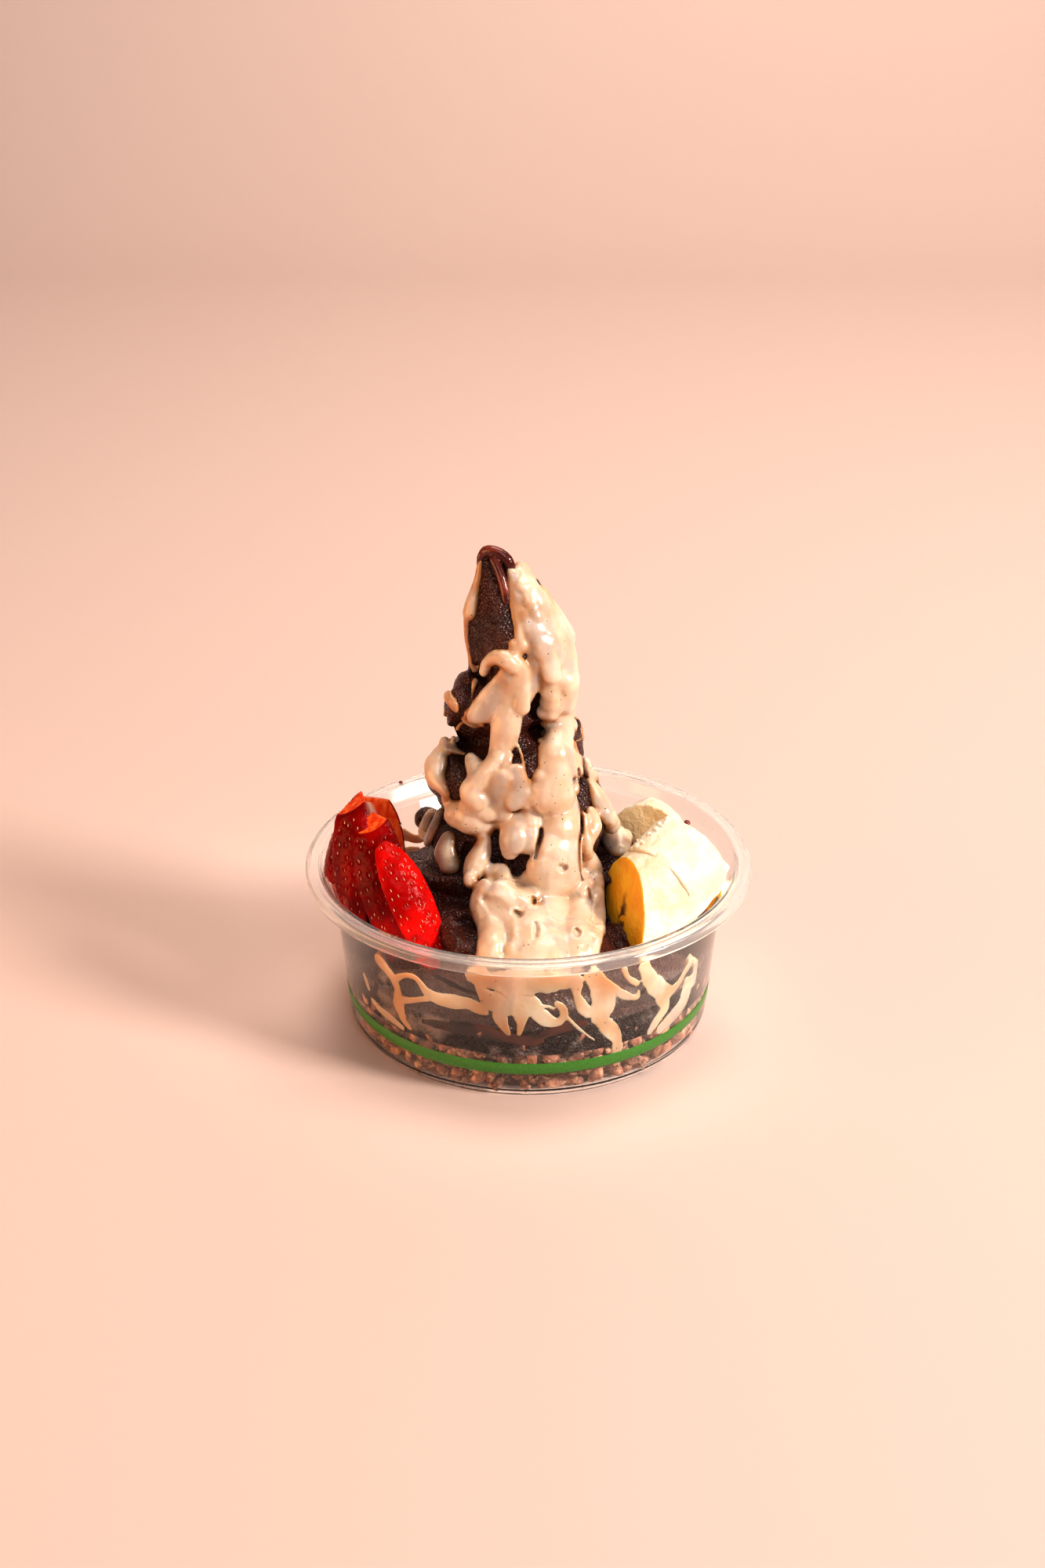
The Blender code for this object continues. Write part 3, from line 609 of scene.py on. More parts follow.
def acai_finish():
    made, tree, shader = new_finish("frozen_acai", 0.5)
    broad = remap(tree, feature_noise(tree, 16 * MM, 2.0), 0.35, 0.65)
    frost_and_glints = feature_noise(tree, 0.55 * MM, 3.0)
    body = mix_colour(tree, broad, (0.034, 0.0055, 0.003), (0.078, 0.015, 0.0075))
    # Pale specks where the noise is high: partly frost on the ice, partly painted glints.
    body = mix_colour(tree, remap(tree, frost_and_glints, 0.59, 0.72), body, (0.15, 0.065, 0.045))
    at_wall = stored(tree, "at_wall")
    body = mix_colour(tree, at_wall, body, (0.013, 0.0045, 0.003))
    frost = product(tree, remap(tree, feature_noise(tree, 8 * MM, 9.0), 0.5, 0.7), at_wall)
    inputs = {
        "Base Color": mix_colour(tree, frost, body, (0.26, 0.2, 0.18)),
        "Subsurface Weight": 0.15,
        "Subsurface Radius": (1, 0.1, 0.05),
        "Subsurface Scale": 2 * MM,
        "Roughness": remap(tree, frost_and_glints, 0.4, 0.6, 0.38, 0.13),
    }
    set_inputs(tree, shader, inputs)
    crystals = node(tree, "ShaderNodeTexVoronoi", {"Vector": on_piece(tree), "Scale": 1 / CRYSTAL})
    waves = feature_noise(tree, 2.6 * MM, 3.0)
    relief(tree, shader, (waves, 0.6 * MM), (crystals.outputs["Distance"], 0.4 * MM))
    return made


def nozzle_section():
    """The star outline of the nozzle, one unit in radius."""
    curve = bpy.data.curves.new("nozzle", "CURVE")
    curve.dimensions = "2D"
    count = NOZZLE_LOBES * 8
    spline = curve.splines.new("POLY")
    spline.points.add(count - 1)
    for i, point in enumerate(spline.points):
        turn = i / count * math.tau
        radius = 1 - NOZZLE_DEPTH * (1 - abs(math.cos(turn * NOZZLE_LOBES / 2)))
        point.co = (radius * math.cos(turn), radius * math.sin(turn), 0, 1)
    spline.use_cyclic_u = True
    return helper("nozzle", curve)


def rope(points, section=None):
    """A closed tube along (place, radius) points, as a mesh."""
    curve = bpy.data.curves.new("rope", "CURVE")
    curve.dimensions = "3D"
    spline = curve.splines.new("POLY")
    spline.points.add(len(points) - 1)
    for point, (place, radius) in zip(spline.points, points):
        point.co = (*place, 1)
        point.radius = radius
    if section:
        curve.bevel_mode = "OBJECT"
        curve.bevel_object = section
    else:
        curve.bevel_depth = 1
        curve.bevel_resolution = 8
    curve.use_fill_caps = True
    return plain_mesh(helper("rope", curve), "rope")


def smooth_path(rows, step):
    """Vectors evenly along a smooth curve through the rows."""
    rows = [2 * rows[0] - rows[1], *rows, 2 * rows[-1] - rows[-2]]
    found = []
    for a, b, c, d in zip(rows, rows[1:], rows[2:], rows[3:]):
        count = max(2, round((c - b).length / step))
        for i in range(count):
            t = i / count
            bend = 2 * a - 5 * b + 4 * c - d
            twist = 3 * (b - c) + d - a
            found.append(0.5 * (2 * b + (c - a) * t + bend * t**2 + twist * t**3))
    return found + [rows[-2]]


def rounded_end(points):
    (before, _), (last, radius) = points[-2:]
    way = (last - before).normalized()
    return points + [(last + way * radius * ahead, radius * share) for ahead, share in ROUND_END]


def short_rope(path, radius):
    """A short length of rope with two round ends, through a few places in millimetres."""
    rows = [Vector((*place, 1)) * MM for place in path]
    points = [(row.xyz, radius * MM) for row in smooth_path(rows, ROPE_STEP)]
    return rounded_end(rounded_end(points[::-1])[::-1])


def coil_points():
    points = []
    low, high = COIL_HEIGHTS[0], SPIRE[0][1] * MM
    for i in range(COIL_STEPS):
        height = low + (high - low) * i / COIL_STEPS
        turn = math.pi + (height - COIL_LEFT_HEIGHT) / COIL_PITCH * math.tau
        radius = np.interp(height, COIL_HEIGHTS, COIL_RADII)
        shift = np.interp(height, COIL_HEIGHTS, COIL_SHIFTS)
        place = Vector((shift + radius * math.cos(turn), radius * math.sin(turn), height))
        points.append((place, COIL_ROPE))
    rows = [Vector((shift, 0, height, size)) * MM for shift, height, size in SPIRE]
    return points + [(row.xyz, row.w) for row in smooth_path(rows, ROPE_STEP)]


def ring_points():
    points = []
    for i in range(RING_STEPS + 1):
        turn = i / RING_STEPS * math.tau
        lean = (1 - math.sin(turn)) / 2
        height = RING_BACK_HEIGHT + (RING_FRONT_HEIGHT - RING_BACK_HEIGHT) * lean
        place = Vector((RING_RADIUS * math.cos(turn), RING_RADIUS * math.sin(turn), height))
        points.append((place, RING_ROPE))
    return points


def joined(meshes, name):
    """Several meshes as one. The parts are removed."""
    shape = bmesh.new()
    for mesh in meshes:
        shape.from_mesh(mesh)
        bpy.data.meshes.remove(mesh)
    made = bpy.data.meshes.new(name)
    shape.to_mesh(made)
    shape.free()
    return made


def fused(mesh, voxel, name, rounds=1):
    """Overlapping shells as one smooth skin."""
    body = helper(name, mesh)
    remesh = body.modifiers.new("Fuse", "REMESH")
    remesh.mode = "VOXEL"
    remesh.voxel_size = voxel
    smooth = body.modifiers.new("Round", "SMOOTH")
    smooth.factor = 0.5
    smooth.iterations = rounds
    return plain_mesh(body, name)


def skin_tree(mesh):
    shape = bmesh.new()
    shape.from_mesh(mesh)
    tree = BVHTree.FromBMesh(shape)
    shape.free()
    return tree


def on_sight_line(rows, tree, eye, step, bridge=0):
    """Places and normals where the sight lines through (across, height, width) rows meet a skin.
    With a bridge of some steps, the line spans short gaps in the skin instead of dipping in."""
    met = []
    for across, height, width in smooth_path([Vector(row) * MM for row in rows], step):
        way = (Vector((across, 0, height)) - eye).normalized()
        place, normal, _, away = tree.ray_cast(eye, way)
        if place:
            met.append((way, normal, width, away))
    found = []
    for i, (way, normal, width, away) in enumerate(met):
        near = met[max(0, i - bridge) : i + bridge + 1]
        level = min(away, sum(other[3] for other in near) / len(near))
        normal = sum((other[1] for other in near), Vector()).normalized() if bridge else normal
        found.append((eye + way * level, normal, width))
    return found


def ball_corners():
    """A unit ball's corners and triangles, to be placed many times."""
    shape = bmesh.new()
    bmesh.ops.create_icosphere(shape, subdivisions=3, radius=1)
    places = np.array([vert.co for vert in shape.verts])
    corners = np.array([[vert.index for vert in face.verts] for face in shape.faces])
    shape.free()
    return places, corners


def drops_mesh(name, drops):
    """One mesh of flattened balls from (place, outward normal, width, height) drops."""
    ball, corners = ball_corners()
    places, faces = [], []
    for i, (place, normal, width, height) in enumerate(drops):
        turn = np.array(normal.to_track_quat("Z", "Y").to_matrix())
        places.append((ball * (width / 2, width / 2, height)) @ turn.T + np.array(place))
        faces.append(corners + i * len(ball))
    mesh = bpy.data.meshes.new(name)
    mesh.from_pydata(np.concatenate(places).tolist(), [], np.concatenate(faces).tolist())
    return mesh


def pressed(mesh, hollows):
    """Pushes gaps into the skin, away from the serving side, deepest in their middle."""
    tree = skin_tree(mesh)
    places = corners_of(mesh)
    near = KDTree(len(places))
    for i, place in enumerate(places):
        near.insert(place, i)
    near.balance()
    sunk = np.zeros(len(places))
    for depth, rows in hollows:
        for place, _, width in on_sight_line(rows, tree, SERVER, 0.5 * MM):
            for _, i, away in near.find_range(place, width * 0.9):
                fall = 1 - (away / (width * 0.9)) ** 2
                sunk[i] = max(sunk[i], depth * MM * max(0, fall))
    away = places - np.array(SERVER)
    away /= np.linalg.norm(away, axis=1)[:, None]
    set_corners(mesh, places + away * sunk[:, None])


def torn_skin(mesh):
    """The uneven skin of frozen acai: soft waves, and small torn ridges where the rope bent."""
    places, ways = corners_of(mesh), corners_of(mesh, "normal")
    push = np.empty(len(places))
    for i, place in enumerate(places):
        spot = Vector(place)
        wave = noise.noise(spot / (13 * MM))
        torn = 1 - abs(noise.noise(spot / (4.2 * MM) + Vector((7, 0, 0)))) * 2
        fine = noise.noise(spot / (1.9 * MM))
        push[i] = (0.55 * wave + 0.55 * max(0, torn - 0.55) + 0.14 * fine) * MM
    set_corners(mesh, places + ways * push[:, None])


def acai():
    section = nozzle_section()
    parts = [rope(coil_points(), section), rope(ring_points(), section)]
    parts.append(rope(short_rope(*KNOB)))
    parts += [rope(short_rope(*fold), section) for fold in FOLDS]
    bpy.data.objects.remove(section, do_unlink=True)
    parts.append(lathe("fill", [(radius * MM, height * MM) for radius, height in MOUND], 96))
    plain = joined(parts, "acai_ropes")
    tree = skin_tree(plain)
    ridges = []
    for lift, rows in ACAI_RIDGES:
        found = on_sight_line(rows, tree, SERVER, 0.7 * MM)
        ridges += [(place, normal, width, width * lift) for place, normal, width in found]
    whole = joined([plain, drops_mesh("ridges", ridges)], "acai_ropes")
    skin = fused(whole, ACAI_VOXEL, "acai_swirl", 2)
    pressed(skin, ACAI_HOLLOWS)
    torn_skin(skin)
    held_inside(skin, ACAI_BOTTOM - 0.3 * MM, SWIRL_TOP, 0.08 * MM)
    places = corners_of(skin)
    gap = wall_inside(places[:, 2]) - np.hypot(places[:, 0], places[:, 1])
    store(skin, at_wall=np.clip(1 - gap / (0.8 * MM), 0, 1))
    skin.shade_smooth()
    return skin


acai_skin = acai()
swirl = add_piece("acai_swirl_skin", acai_skin, acai_finish())
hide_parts("acai_swirl")
acai_tree = skin_tree(acai_skin)

# Tip curls: where the spire was pulled off the nozzle the acai has melted into short, glossy ropes that
# lie over the tip and run down its front.
TIP_CURLS = (  # places and radius in mm
    (((-11.4, 0, 130.6), (-10.8, -1, 132.3), (-9.2, -1.8, 132.7), (-7.2, -2.4, 132.2),
        (-5.4, -3, 130.8), (-4.7, -3.2, 129)), 1.45),
    (((-8.9, -3, 131), (-7.4, -5, 128.4), (-6.3, -6.6, 125.4), (-5.6, -8, 121.6)), 1.15),
    (((-12.3, -1, 128.6), (-12.2, -1.4, 130.8), (-11.6, -1.2, 132.2)), 0.9),
)


def fold_finish(name, dark, light):
    """Melted acai: smooth, glossy and redder than the icy skin."""
    made, tree, shader = new_finish(name, 0.2)
    streaks = remap(tree, feature_noise(tree, 4 * MM, 3.0, (0.4, 0.4, 1)), 0.35, 0.65)
    set_inputs(tree, shader, {"Base Color": mix_colour(tree, streaks, dark, light)})
    relief(tree, shader, (feature_noise(tree, 2 * MM, 2.0, (0.4, 0.4, 1)), 0.2 * MM))
    return made


melted_acai = fold_finish("melted_acai", (0.09, 0.014, 0.008), (0.24, 0.05, 0.03))
curls = joined([rope(short_rope(*curl)) for curl in TIP_CURLS], "tip_curls")
curls.shade_smooth()
tip = add_piece("tip_curls", fused(curls, 0.25 * MM, "tip_curls", 2), melted_acai)
tip.data.shade_smooth()

# Nut butter: a thick, glossy pour from the serving side. It runs down the spire in ropes, bridges the
# coils in sheets and ends in fat drops. Each strand is (across, height, width) in mm on the bowl's
# middle plane, laid where the server's line of sight meets the acai. The back gets drips by a rule.
BUTTER = (  # lift over width, then the strand's (across, height, width) rows
    (0.34, ((-12.2, 130, 1.6), (-12.6, 126, 2.6), (-13.4, 122, 3.2), (-14.4, 118, 4.6),
        (-14.8, 115.6, 5))),
    (0.34, ((-15.2, 117, 3.4), (-15.7, 112, 2.6), (-15.6, 108, 2.2), (-15, 103, 1.8),
        (-14.4, 99, 1.2))),
    (0.3, ((-4.8, 127.5, 2), (-4.5, 122, 2.2), (-3.7, 116, 2.4), (-2.6, 111, 3), (-1.8, 106, 4))),
    (0.28, ((-2, 126.5, 4), (1.8, 120, 7), (5, 114, 8), (8, 108, 9), (9.6, 102, 9), (9.6, 96, 9))),
    (0.34, ((9.6, 96, 9), (9, 90, 8.5), (8.2, 85, 7.5), (8, 80, 7.8), (7.4, 74, 10), (6.6, 69, 11),
        (6, 64, 12))),
    (0.28, ((3.4, 121, 4), (7, 115, 5), (10, 109, 6), (12, 104, 5), (12.6, 99, 4), (12.4, 94, 3))),
    (0.22, ((1, 112, 6), (3.5, 107, 6), (5, 103, 6), (6, 98, 5))),
    (0.4, ((-4.4, 107, 2), (-3, 103, 3), (-1.8, 99, 4), (-1.6, 94, 4.4), (-2, 89, 5))),
    (0.42, ((-11.6, 99, 2.4), (-10.6, 101.4, 3.2), (-8, 103.2, 4.2), (-5.2, 102, 5),
        (-3.9, 100.3, 4.6))),
    (0.4, ((-13.8, 99.4, 1.8), (-12.8, 100.6, 1.4))),
    (0.35, ((-13.9, 96.4, 1.8), (-14.5, 93.5, 1.2), (-14.8, 91, 0.9))),
    (0.25, ((-20.2, 94, 2.2), (-20.8, 92, 3.4), (-19.6, 89.6, 2.8), (-18.8, 88, 1.6))),
    (0.3, ((-9.2, 97, 1), (-11.5, 93.5, 1.4), (-14.5, 89, 1.8), (-16.8, 85.8, 2.2),
        (-14.6, 83.8, 2), (-12, 84, 2.4))),
    (0.36, ((-4, 89, 6), (-5.5, 85, 8), (-6.2, 81, 7.6), (-7.4, 77, 5.8), (-8.6, 74, 5))),
    (0.38, ((-8.6, 74, 5), (-10.4, 71, 5.2), (-13, 67.6, 6), (-15.4, 64.6, 6), (-14, 62, 7))),
    (0.5, ((-13.5, 88.5, 1), (-16.2, 86, 1.2), (-18.6, 83, 1.3), (-19.8, 80, 1.4), (-19.6, 77, 2))),
    (0.36, ((-21.6, 88, 1.6), (-22, 85, 2.6), (-22.6, 81, 3.4), (-22, 78, 3.8), (-23, 75, 6),
        (-24.4, 72, 7.4))),
    (0.36, ((-24.4, 72, 7.4), (-24.4, 69, 6.6), (-22.8, 66, 4.4), (-21.8, 63.5, 3.4), (-22, 61, 2.4))),
    (0.4, ((-22, 76.6, 3.4), (-19.4, 76, 2.8), (-17, 75.4, 1.6))),
    (0.3, ((-15.4, 74.6, 3), (-14.4, 72, 5), (-13.4, 69.6, 6), (-14.2, 67, 5))),
    (0.5, ((-2.6, 78, 0.9), (-1.6, 74, 1.1), (-1.1, 70, 1.2))),
    (0.3, ((-4.8, 75, 1.8), (-6, 72, 3.4), (-5, 69, 3.6))),
    (0.44, ((-18.4, 58, 8), (-15.4, 57.6, 9.6), (-12.4, 56, 9.4))),
    (0.44, ((-15, 60.5, 7), (-11, 58.6, 6))),
    (0.44, ((-21.2, 49.6, 5.4), (-21.8, 46, 6.8), (-20.8, 42, 6.4))),
    (0.4, ((-11.8, 50, 3.6), (-12.4, 46.6, 5.2), (-14, 43, 6.4), (-15.4, 39.6, 5), (-16, 37.4, 3.6))),
    (0.36, ((-2, 58, 8.4), (-3, 54, 8.6), (-4, 50, 7.6), (-4.8, 46.8, 5))),
    (0.34, ((0.4, 55, 6), (0.6, 51, 5.4), (-0.6, 48, 4.4))),
    (0.5, ((0.6, 63.4, 3), (-0.6, 60.8, 3.6), (1.4, 58.2, 3.2), (4, 56.6, 2.6))),
    (0.3, ((6.6, 66, 11), (7.2, 61, 12), (8.4, 56, 11), (8.6, 51, 10))),
    (0.2, ((8.6, 53, 11), (8.2, 46, 13), (7.4, 41, 15), (6.4, 35, 14), (5.4, 30, 15),
        (4.6, 25, 15), (4, 20, 16), (4, 14, 16))),
    (0.3, ((1, 38, 7), (5, 36.6, 10), (9.6, 37.4, 10), (13.4, 39.4, 7))),
    (0.3, ((4, 42, 9), (4.6, 37.4, 11), (3.4, 32.6, 10))),
    (0.3, ((9.4, 41, 9), (10.2, 36.4, 10), (10.6, 31.6, 9))),
    (0.36, ((14.8, 57, 2.4), (15.6, 50, 3), (15.8, 46, 4), (17, 42, 6), (18.2, 38, 5), (18.4, 33, 5))),
    (0.34, ((18.4, 33, 5), (18.6, 28, 5.4), (19, 23, 4.6), (17.6, 18.5, 5), (17, 14, 5))),
    (0.3, ((-10.6, 40.6, 4), (-7.4, 40.4, 4.6), (-6.4, 37, 5), (-3, 36, 5), (1, 37, 5))),
    (0.3, ((-11.8, 36, 4), (-12, 33, 7), (-12.4, 29, 8), (-10.6, 25, 8), (-9.6, 20, 9), (-10, 14, 9))),
    (0.28, ((-7, 33, 9), (-8, 29, 7), (-4, 23, 9), (-3, 18, 9), (-3, 13, 9))),
    (0.28, ((-2, 32.6, 6), (2, 33, 6), (9, 34, 10), (14, 36, 8), (15.4, 41, 5))),
    (0.28, ((12, 30, 10), (14, 25, 10), (12.6, 19, 9), (12, 14, 9))),
    (0.36, ((16.4, 67, 3.4), (18, 62.8, 6), (20, 58.6, 6.6), (22, 55, 6))),
    (0.38, ((22.4, 52.8, 5.4), (23.6, 49.8, 8), (24.8, 46.6, 6.4))),
    (0.36, ((24.6, 51.4, 4.6), (27, 51, 4.6), (29.4, 50, 3.2))),
    (0.36, ((16.8, 58.4, 3.4), (17.8, 54.6, 4.4), (17, 51, 3.4), (16, 48, 2.6))),
    (0.5, ((11, 79, 0.9), (13.6, 79.8, 0.9), (16.5, 81, 0.8))),
    (0.4, ((11.8, 78.4, 2), (12.8, 74.4, 2), (13.4, 70.4, 1.6), (12.6, 67, 1.2))),
)
BUTTER_FILMS = (  # thin see-through stretches between the strands
    (0.14, ((-4.8, 97.6, 7), (-6.8, 93.4, 8.4), (-10.8, 89, 8), (-13.8, 86.2, 5))),
    (0.16, ((-3.6, 126, 2.8), (-2.6, 120, 3.6), (-1, 114, 4), (0.8, 109, 4), (2.6, 105, 4))),
    (0.16, ((1, 105, 4), (1.8, 100, 4), (1, 95, 4), (-0.4, 91, 3.4))),
    (0.16, ((-7.4, 68, 6), (-8.6, 63, 7), (-7.6, 58, 6), (-6.8, 54, 3.6))),
    (0.16, ((-3.4, 70, 5.6), (-2.4, 65, 6), (-3.6, 61, 5))),
    (0.14, ((4.6, 99.6, 2.6), (4.8, 95.6, 2.2))),
    (0.2, ((13.6, 74.6, 2.6), (14, 70.6, 2.2))),
    (0.14, ((-26, 57, 5), (-27.5, 53, 6), (-29.5, 49.6, 4.4))),
    (0.2, ((-23.6, 58.4, 3.6), (-25.4, 53.4, 5), (-27, 49.4, 5))),
)
BUTTER_SHEETS = (  # lift over width, drop width, size and swing of its lumps, then the outline in mm
    (0.34, 5, (9, 30, 0.3), [(-2.4, 127.6), (-1.6, 128.4), (0.6, 125), (4.4, 118.6), (8, 113),
        (11, 107), (12.8, 101.5), (13, 96), (11.8, 91), (5.4, 92), (5, 98), (5, 104), (3.6, 108),
        (1.6, 112), (0, 117), (-1.4, 122)]),
    (0.42, 5, (5, 12, 0.8), [(4.8, 92), (11.6, 92), (11, 84), (10.8, 78), (12, 73), (12, 64),
        (12.4, 57), (12, 50), (13, 43), (12, 36), (8, 31), (4, 34), (2.6, 43), (4, 50), (4.4, 56),
        (2, 60), (1, 65), (2.6, 70), (4.4, 76), (4.6, 84)]),
    (0.42, 3.8, (3.4, 5, 1.9), [(-11.4, 34.6), (-9.4, 40.4), (-5.6, 39.6), (-1, 37), (3, 38),
        (4, 44), (12.6, 44), (15, 40.6), (17.6, 38), (18.2, 31), (18.8, 25), (18.2, 19),
        (17.4, 13), (-12.4, 13), (-13, 18.6), (-11.6, 22), (-13.6, 26.4), (-14.4, 29.6)]),
    (0.36, 4, (6, 14, 0.4), [(-3.4, 102), (-1.4, 96), (-2.4, 89), (-4.4, 82), (-8.4, 82.6),
        (-8, 87), (-5.6, 92), (-4.8, 98)]),
)
BUTTER_DIMPLES = (  # pits and creases that open down to the acai: depth, then (across, height, width)
    (2.4, ((-3.2, 27.6, 1.5), (-2.6, 27.2, 1.7))),
    (1.8, ((1.2, 32.4, 0.9), (1.6, 31.4, 1.4), (1.4, 30.6, 1))),
    (1.2, ((1.9, 24.6, 0.6), (2.2, 22.6, 0.9), (2, 20.2, 0.6))),
    (1.4, ((13.2, 22.6, 0.7), (13.7, 21.6, 1.2), (13.4, 20.6, 0.8))),
    (1.8, ((8.6, 42, 1), (9.4, 41.4, 1.4), (10.2, 41.6, 0.9))),
    (2.2, ((3.4, 53, 0.8), (3.1, 50, 1.1), (2.5, 47, 1), (1.9, 44.6, 0.7))),
    (2.2, ((13.2, 71, 0.7), (13.8, 66, 1), (14, 60, 1.1), (14.1, 54, 1), (13.7, 48, 1.1),
        (13.9, 42, 0.9), (14.6, 38, 0.6))),
    (1, ((16.4, 35, 0.6), (16.9, 31, 0.9), (16.9, 27, 0.8), (16.5, 24, 0.5))),
    (0.9, ((-11.6, 31.6, 1.6), (-9, 29.4, 3), (-7.2, 26, 3.2), (-6.4, 21, 2.6), (-6.8, 16, 2))),
    (0.9, ((-4.6, 36.6, 1.6), (-1, 35, 2.6), (2.6, 31.4, 2.6), (4, 27, 2), (8, 24.6, 2))),
)
BUTTER_HOLES = (  # across, height, radius, in mm on the middle plane
    (-2, 42.4, 3),
    (-3, 27.6, 0.7),
    (1.6, 31.6, 0.6),
    (13.6, 21.6, 0.6),
    (9.2, 41.6, 0.7),
    (3.6, 50, 1),
    (7.2, 26.6, 0.4),
)
BUTTER_STEP = 1.0 * MM
BUTTER_BRIDGE = 6
BUTTER_PLUMP = 1.2
BUTTER_FULL_DEPTH = 2.6 * MM
BUTTER_VOXEL = 0.48 * MM
BUTTER_WAVE = 0.22 * MM
SPECK_SPACING = 1.6 * MM
BACK_DRIPS = 6
BACK_DRIP_TOP = 96
BACK_DRIP_SPREAD = 36
BUTTER_SEED = 4


def butter_finish():
    """Cream where thick, amber at edges and painted amber shade below, grey where the acai shows
    through.
    """
    made, tree, shader = new_finish("nut_butter", 0.3)
    broad = remap(tree, feature_noise(tree, 9 * MM, 2.0), 0.35, 0.65)
    cream = mix_colour(tree, broad, (0.7, 0.5, 0.34), (0.8, 0.65, 0.51))
    marbled = remap(tree, feature_noise(tree, 6 * MM, 4.0, (1, 1, 0.35)), 0.5, 0.66, 0, 0.6)
    cream = mix_colour(tree, marbled, cream, (0.5, 0.4, 0.34))
    depth = stored(tree, "depth")
    # Amber where the stored depth is small: thin butter at its edges, and painted amber shade on the
    # undersides, whose depth is cut down.
    cream = mix_colour(tree, remap(tree, depth, 0.1, 0.62), (0.5, 0.23, 0.08), cream)
    cream = mix_colour(tree, remap(tree, depth, 0.02, 0.12), (0.05, 0.014, 0.008), cream)
    patchy = remap(tree, feature_noise(tree, 4 * MM, 3.0), 0.3, 0.6)
    film = product(tree, remap(tree, stored(tree, "thin"), 0.1, 0.7, 0, 0.75), patchy)
    body = mix_colour(tree, film, cream, (0.5, 0.4, 0.34))
    grains = {"Vector": on_piece(tree), "Scale": 1 / SPECK_SPACING}
    away = node(tree, "ShaderNodeTexVoronoi", grains).outputs["Distance"]
    rare = remap(tree, feature_noise(tree, 6 * MM, 1.0), 0.45, 0.6, 0.0, 0.11)
    speck = node(tree, "ShaderNodeMath", {0: away, 1: rare}, operation="LESS_THAN").outputs[0]
    inputs = {
        "Base Color": mix_colour(tree, speck, body, (0.09, 0.035, 0.02)),
        "Subsurface Weight": 0.5,
        "Subsurface Radius": (1, 0.42, 0.14),
        "Subsurface Scale": 3 * MM,
        "Coat Weight": 0.4,
        "Coat Roughness": 0.2,
    }
    set_inputs(tree, shader, inputs)
    relief(tree, shader, (feature_noise(tree, 3.5 * MM, 2.0), 0.25 * MM))
    return made


def strand(lift, rows, tree, eye):
    """The drops of one strand, each where the sight line from eye meets the skin."""
    found = on_sight_line(rows, tree, eye, BUTTER_STEP, BUTTER_BRIDGE)
    return [(place, normal, width, width * lift * BUTTER_PLUMP) for place, normal, width in found]


def inside(across, height, outline):
    """Whether a spot lies within a closed outline."""
    crossings = 0
    for (x1, z1), (x2, z2) in zip(outline, outline[1:] + outline[:1]):
        if (z1 > height) != (z2 > height) and across < x1 + (height - z1) / (z2 - z1) * (x2 - x1):
            crossings += 1
    return crossings % 2 == 1


def sheet(lift, width, lumps, outline, tree):
    """The drops of a poured sheet: its outline filled with rows of drops, clear of the holes."""
    draw = random.Random(BUTTER_SEED)
    drops = []
    low, high = min(z for _, z in outline), max(z for _, z in outline)
    left, right = min(x for x, _ in outline), max(x for x, _ in outline)
    pitch = width * 0.42
    for i in range(int((high - low) / pitch) + 1):
        for j in range(int((right - left) / pitch) + 1):
            height = low + i * pitch + draw.uniform(-0.3, 0.3) * pitch
            across = left + (j + 0.5 * (i % 2)) * pitch + draw.uniform(-0.3, 0.3) * pitch
            if not inside(across, height, outline):
                continue
            clear = width * 0.45
            if any(math.hypot(across - x, height - z) < size + clear for x, z, size in BUTTER_HOLES):
                continue
            across_lump, upright_lump, swing = lumps
            swell = 1 + swing * noise.noise(Vector((across / across_lump, height / upright_lump, 0)))
            way = (Vector((across, 0, height)) * MM - SERVER).normalized()
            place, normal, _, _ = tree.ray_cast(SERVER, way)
            if place:
                drops.append((place, normal, width * MM, width * MM * lift * swell))
    return drops


def back_drips(tree):
    draw = random.Random(BUTTER_SEED)
    behind = Vector((SERVER.x, -SERVER.y, SERVER.z))
    drops = []
    for i in range(BACK_DRIPS):
        across = (i / (BACK_DRIPS - 1) - 0.5) * BACK_DRIP_SPREAD
        top = BACK_DRIP_TOP - abs(across) * 1.4 + draw.uniform(-6, 12)
        fall = draw.uniform(22, 40)
        sway = draw.uniform(-3, 3)
        rows = (
            (across * 0.7, top, 2.4),
            (across * 0.85 + sway, top - fall * 0.5, 3.6),
            (across + sway, top - fall, 6),
        )
        drops += strand(0.34, rows, tree, behind)
    return drops


